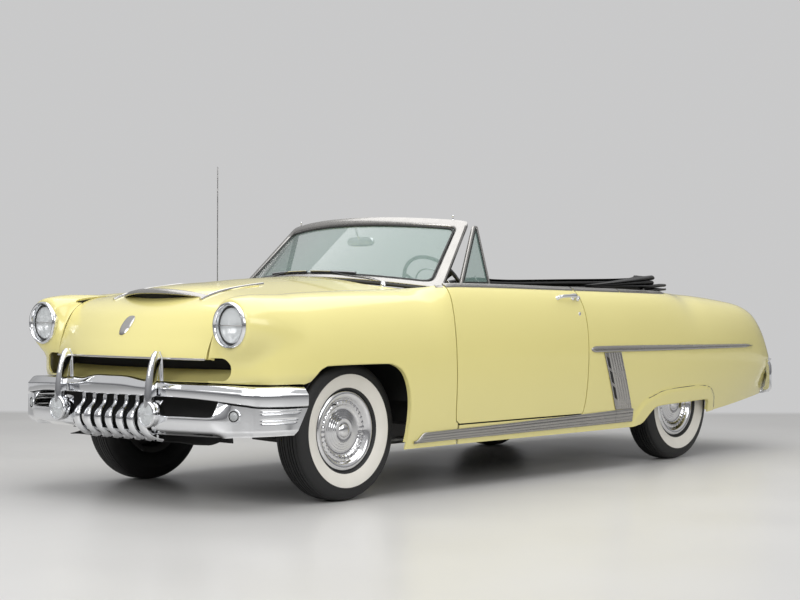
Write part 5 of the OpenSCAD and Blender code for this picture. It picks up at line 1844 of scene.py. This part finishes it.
# The flat stack between them, over the well
stack_section = pleated(0.290, 0.110, 7, seed=11)
bed = [placed((x, 1425, 985 + 12 * math.cos(x / 420) + 2 * math.sin(x / 23)))
       for x in np.linspace(-560, 560, 90)]
stack = sweep("top_stack", bed, stack_section, TOP_CLOTH, slot="top_cloth", smooth=80)

# The bows' ends and hinge links that show beside the cloth
for k, sgn in (("left", 1), ("right", -1)):
    for i, (a, b) in enumerate((((690, 640, 1062), (694, 1120, 1074)), ((736, 760, 1056), (730, 1200, 1066)))):
        sweep(f"top_link_{k}_{i}", [placed((sgn * (a[0] + (b[0] - a[0]) * t), a[1] + (b[1] - a[1]) * t,
                                            a[2] + (b[2] - a[2]) * t + 5 * math.sin(math.pi * t)))
                                    for t in np.linspace(0, 1, 9)], superellipse(12, 3) * (0.004, 0.010),
                                    CHASSIS)
    turn(f"top_pivot_{k}", [(0, 0.010), (0.012, 0.009), (0.016, 0.003), (0.016, -0.004)],
         placed((sgn * 742, 1180, 1052)), (sgn, 0, 0), STEEL_TRIM, n=28)

# The well the cloth lies in
WELL = [(1168, 962), (1200, 950), (1240, 880), (1330, 858), (1480, 852), (1600, 862), (1650, 930), (1672, 1004)]
plate("top_well", [[(min(768 - 0.22 * max(y - 1150, 0), 770) * u, y, z + 2.5 * math.sin(u * 30))
                    for y, z in smooth_path(WELL, 36)] for u in np.linspace(-1, 1, 61)], 0.003, HIDE)

# ---------------------------------------------------------------- rear end
REAR_BAR = [
    [0, 2712, 424, 530], [300, 2712, 424, 530], [560, 2710, 422, 532], [622, 2709, 412, 545], [650, 2708, 368,
            605],
    [716, 2706, 366, 606], [748, 2700, 370, 603], [776, 2686, 376, 600], [
        796, 2662, 382, 596], [808, 2630, 388, 592],
    [812, 2600, 392, 590]
]
REAR_SECTION = [(0.0, 1.0), (-0.010, 0.93), (0.0, 0.80), (0.004, 0.5), (0.004, 0.2), (0.0, 0.07), (-0.012, 0.0),
                (-0.034, -0.01), (-0.046, 0.04), (-0.030, 0.12), (-0.016, 0.5), (-0.028, 0.86), (-0.046, 0.96),
                (-0.032, 1.02), (-0.012, 1.02)]
stations = [row(REAR_BAR, s) for s in np.linspace(0, len(REAR_BAR) - 1, 81)]
plan = A([placed((x, y, 0)) for x, y, _, _ in stations])
run = np.gradient(plan, axis=0)
outs = np.stack([run[:, 1], -run[:, 0], 0 * run[:, 0]], 1)
outs /= np.linalg.norm(outs, axis=1)[:, None]
outs[0] = (0, 1, 0)
if outs[5][1] < 0:
    outs[1:] *= -1
half = []
for st, o in zip(stations, outs):
    half.append([placed((st[0], st[1], st[2] + (st[3] - st[2]) * v)) + o * d for d, v in REAR_SECTION])
half = A(half)
other = half[1:][::-1].copy()
other[:, :, 0] *= -1
rear_bar = loft("rear_bumper_bar", np.concatenate([other, half]), CHROME, slot="chrome", smooth=50)
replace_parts(rear_bar, "rear_bumper")
for k, sgn in (("left", 1), ("right", -1)):
    sweep("rear_bumper_arm_" + k, [placed((sgn * 480, y, z)) for y, z in ((2560, 456), (2620, 466), (2690,
            474))],
          superellipse(14, 4) * (0.014, 0.028), CHASSIS)

for k, sgn in (("left", 1), ("right", -1)):
    foot, head = placed((sgn * 691, 2706, 622)), placed((sgn * 691, 2633, 822))
    way = (head - foot) / np.linalg.norm(head - foot)
    out = A([0, way[2], -way[1]])
    line = [foot + (head - foot) * t for t in np.linspace(-0.04, 1.04, 25)]
    fat = [(max(1 - abs(2 * t - 1) ** 6, 0.02) ** 0.5,) * 2 for t in np.linspace(0.02, 0.98, 25)]
    bezel = sweep("tail_lamp_bezel_" + k, [p - out * 0.006 for p in line], superellipse(24, 2.6) * (0.030,
            0.020),
                  CHROME, up=out, scale=fat)
    lens_line = [foot + (head - foot) * t + out * 0.004 for t in np.linspace(0.08, 0.92, 61)]
    ribs = [(max(1 - abs(2 * t - 1) ** 8, 0.02) ** 0.5, (1 + 0.06 * math.cos(t * 150)) * max(1
            - abs(2 * t - 1) ** 8, 0.02) ** 0.5)
            for t in np.linspace(0.01, 0.99, 61)]
    lens = sweep("tail_lamp_lens_" + k, lens_line, superellipse(24, 2.2) * (0.0185, 0.018), LENS_RED, up=out,
                 scale=ribs, slot="tail_lens")
    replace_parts(lens, "tail_lamps")

# The trunk's handle and lock, on the lid; the tail pipe's bright end
grip = smooth_path([placed(p) for p in [(-92, 2597, 640), (-84, 2616, 640), (-50, 2626, 641), (0, 2629, 642),
                                        (50, 2626, 641), (84, 2616, 640), (92, 2597, 640)]], 48)
sweep("trunk_handle", grip, superellipse(18, 2.6) * (0.012, 0.008), CHROME, body="trunk_lid",
      scale=[0.8 + 0.4 * math.sin(math.pi * t) for t in np.linspace(0, 1, 48)])
turn("trunk_lock", [(0, 0.016), (0.013, 0.015), (0.017, 0.010), (0.020, 0.004), (0.020, -0.010)],
     placed((0, 2596, 690)), (0, 0.95, 0.3), CHROME, n=32, body="trunk_lid")
turn("tail_pipe_end", [(0.020, -0.16), (0.026, -0.15), (0.027, 0.0), (0.026, 0.004), (0.023, 0.002), (0.022,
        -0.12),
                       (0.0, -0.121)], placed((470, 2662, 325)), (0, 1, 0), CHROME, n=36)

# A black line round the raised skirt over the rear wheel: painted shade along its crease
for name, sgn in (("skirt_seam_left", 1), ("skirt_seam_right", -1)):
    seam = [side_at(y, z, -0.0004)[0] * A([sgn, 1, 1]) for y, z in smooth_path(
        [(0.86, 0.404), (0.95, 0.428), (1.05, 0.446), (1.30, 0.458), (1.50, 0.457), (1.60, 0.438), (1.66,
                0.392),
         (1.69, 0.31)], 60)]
    tube(name, seam, 0.0022, RUBBER_AND_SHADE_LINE, n=6)


# ---------------------------------------------------------------- carried-over nodes, liners and splash pans
for name, mat in {"frame": CHASSIS, "floor": CHASSIS, "radiator": CHASSIS, "engine": CAST, "rear_axle": CAST,
                  "front_suspension": CHASSIS, "knuckle_left": CAST, "knuckle_right": CAST, "exhaust": TANK,
                  "fuel_tank": TANK, "aerial": BRIGHT_TRIM, "plate_bracket": CHASSIS,
                  "steering_column": BLACK}.items():
    ob = frame["nodes"][name]
    ob.data.materials.clear()
    ob.data.materials.append(mat)
    shade(ob, 35)

# Inside the front fenders: a barrel over each wheel that the steered tyre clears
ARCH = [(-1.0, 0.0), (-1.0, 0.35), (-0.97, 0.62), (-0.86, 0.86), (-0.62, 0.98), (-0.3, 1.0), (0.3, 1.0), (0.62,
        0.98),
        (0.86, 0.86), (0.97, 0.62), (1.0, 0.35), (1.0, 0.0)]
P = []
for x in (438, 445, 470, 540, 640, 740, 800, 838):
    k = 0.0 if x < 440 else 1.0
    P.append([(x, -1498.5 + 448 * a * (0.9 + 0.1 * k), 470 + 330 * b * (0.985 + 0.015 * k))
              for a, b in smooth_path(ARCH, 60)])
liner = plate("front_liner_left", P, 0.003, FLAT_BLACK_AND_SHADE)
mirrored(liner, "front_liner_right")
wall = plate("liner_wall_left", [[(438 + 3 * math.sin(y / 30), y, z) for z in np.linspace(500, 880, 14)]
                                 for y in np.linspace(-1930, -1060, 40)], 0.003, FLAT_BLACK_AND_SHADE)
mirrored(wall, "liner_wall_right")
# The pan under the nose, and the shade behind the grille
plate("nose_pan", [[(x, y, 300 + 40 * step(y, -2150, -1960) + 2 * math.sin(x / 40)) for y in np.linspace(-2150,
        -1940, 16)]
                   for x in np.linspace(-540, 540, 50)], 0.004, FLAT_BLACK_AND_SHADE)
plate("nose_shade", [[(x, -2020 + 2 * math.sin(z / 20), z) for z in np.linspace(300, 740, 20)]
                     for x in np.linspace(-560, 560, 40)], 0.004, FLAT_BLACK_AND_SHADE)


# ---------------------------------------------------------------- stage, lights and camera
YAW, CAM = 0.736774, Vector((6.36255, -7.38143, 0.96886))
WALL = 0.585
away = Vector((-math.sin(YAW), math.cos(YAW), 0))

floor = bpy.data.objects.new("floor_plane", bpy.data.meshes.new("floor_plane"))
floor.data.from_pydata([(-40, -40, 0), (40, -40, 0), (40, 40, 0), (-40, 40, 0)], [], [(0, 1, 2, 3)])
bpy.context.scene.collection.objects.link(floor)
m, t, b = tree("studio_floor")
b.inputs["Base Color"].default_value = (0.545, 0.54, 0.53, 1)
b.inputs["Roughness"].default_value = 0.22
b.inputs["Specular IOR Level"].default_value = 0.45
where = node(t, "ShaderNodeTexCoord")
split = node(t, "ShaderNodeVectorMath", operation="DOT_PRODUCT")
split.inputs[1].default_value = away
t.links.new(where.outputs["Object"], split.inputs[0])
far = node(t, "ShaderNodeMapRange")
far.interpolation_type = "SMOOTHSTEP"
far.inputs["From Min"].default_value = 4.45
far.inputs["From Max"].default_value = 5.0
t.links.new(split.outputs["Value"], far.inputs["Value"])
glow = node(t, "ShaderNodeEmission", Color=(WALL, WALL, WALL * 1.005, 1), Strength=1.0)
mix = node(t, "ShaderNodeMixShader")
t.links.new(far.outputs[0], mix.inputs[0])
t.links.new(b.outputs[0], mix.inputs[1])
t.links.new(glow.outputs[0], mix.inputs[2])
t.links.new(mix.outputs[0], t.nodes["Material Output"].inputs["Surface"])
rough = node(t, "ShaderNodeTexNoise", Scale=1.3, Detail=3.0)
t.links.new(where.outputs["Object"], rough.inputs["Vector"])
span = node(t, "ShaderNodeMapRange")
span.inputs["To Min"].default_value = 0.24
span.inputs["To Max"].default_value = 0.40
t.links.new(rough.outputs["Fac"], span.inputs["Value"])
t.links.new(span.outputs[0], b.inputs["Roughness"])
floor.data.materials.append(m)

world = bpy.data.worlds.new("studio")
bpy.context.scene.world = world
world.use_nodes = True
w = world.node_tree
back = w.nodes["Background"]
back.inputs["Color"].default_value = (WALL, WALL, WALL * 1.005, 1)
back.inputs["Strength"].default_value = 1.0
room = node(w, "ShaderNodeBackground", Strength=1.0)
direction = node(w, "ShaderNodeTexCoord")
xyz = node(w, "ShaderNodeSeparateXYZ")
w.links.new(direction.outputs["Generated"], xyz.inputs[0])
ramp = node(w, "ShaderNodeValToRGB")
ramp.color_ramp.elements[0].position = 0.0
ramp.color_ramp.elements[0].color = (0.16, 0.16, 0.165, 1)
ramp.color_ramp.elements[1].position = 0.55
ramp.color_ramp.elements[1].color = (0.62, 0.62, 0.62, 1)
e = ramp.color_ramp.elements.new(0.16)
e.color = (0.34, 0.34, 0.345, 1)
w.links.new(xyz.outputs["Z"], ramp.inputs[0])
w.links.new(ramp.outputs[0], room.inputs["Color"])
rays = node(w, "ShaderNodeLightPath")
pick = node(w, "ShaderNodeMixShader")
seen = node(w, "ShaderNodeMath", operation="MAXIMUM")
w.links.new(rays.outputs["Is Camera Ray"], seen.inputs[0])
w.links.new(rays.outputs["Is Transmission Ray"], seen.inputs[1])
w.links.new(seen.outputs[0], pick.inputs[0])
w.links.new(room.outputs[0], pick.inputs[1])
w.links.new(back.outputs[0], pick.inputs[2])
w.links.new(pick.outputs[0], w.nodes["World Output"].inputs["Surface"])


def softbox(name, place, aim, size, power):
    lamp = bpy.data.lights.new(name, "AREA")
    lamp.shape, lamp.size, lamp.size_y, lamp.energy = "RECTANGLE", size[0], size[1], power
    ob = bpy.data.objects.new(name, lamp)
    ob.location = place
    ob.rotation_euler = (Vector(aim) - Vector(place)).to_track_quat("-Z", "Y").to_euler()
    ob.visible_camera = False
    bpy.context.scene.collection.objects.link(ob)


softbox("softbox_above", (0.5, -0.5, 5.2), (0, 0, 0), (7.0, 9.0), 330)
softbox("softbox_front", (2.5, -8.5, 4.2), (0, -1.5, 0.6), (6.0, 3.0), 260)
softbox("softbox_side", (9.0, -1.0, 4.0), (0, 0, 0.6), (7.0, 2.6), 150)

camera = bpy.data.cameras.new("camera")
camera.lens = 73.28
camera.sensor_width = 36.0
camera.clip_end = 200
eye = bpy.data.objects.new("camera", camera)
eye.location = CAM
eye.rotation_euler = (math.pi / 2 + 0.002135, -0.001945, YAW)
bpy.context.scene.collection.objects.link(eye)
bpy.context.scene.camera = eye
bpy.context.scene.view_settings.view_transform = "Standard"
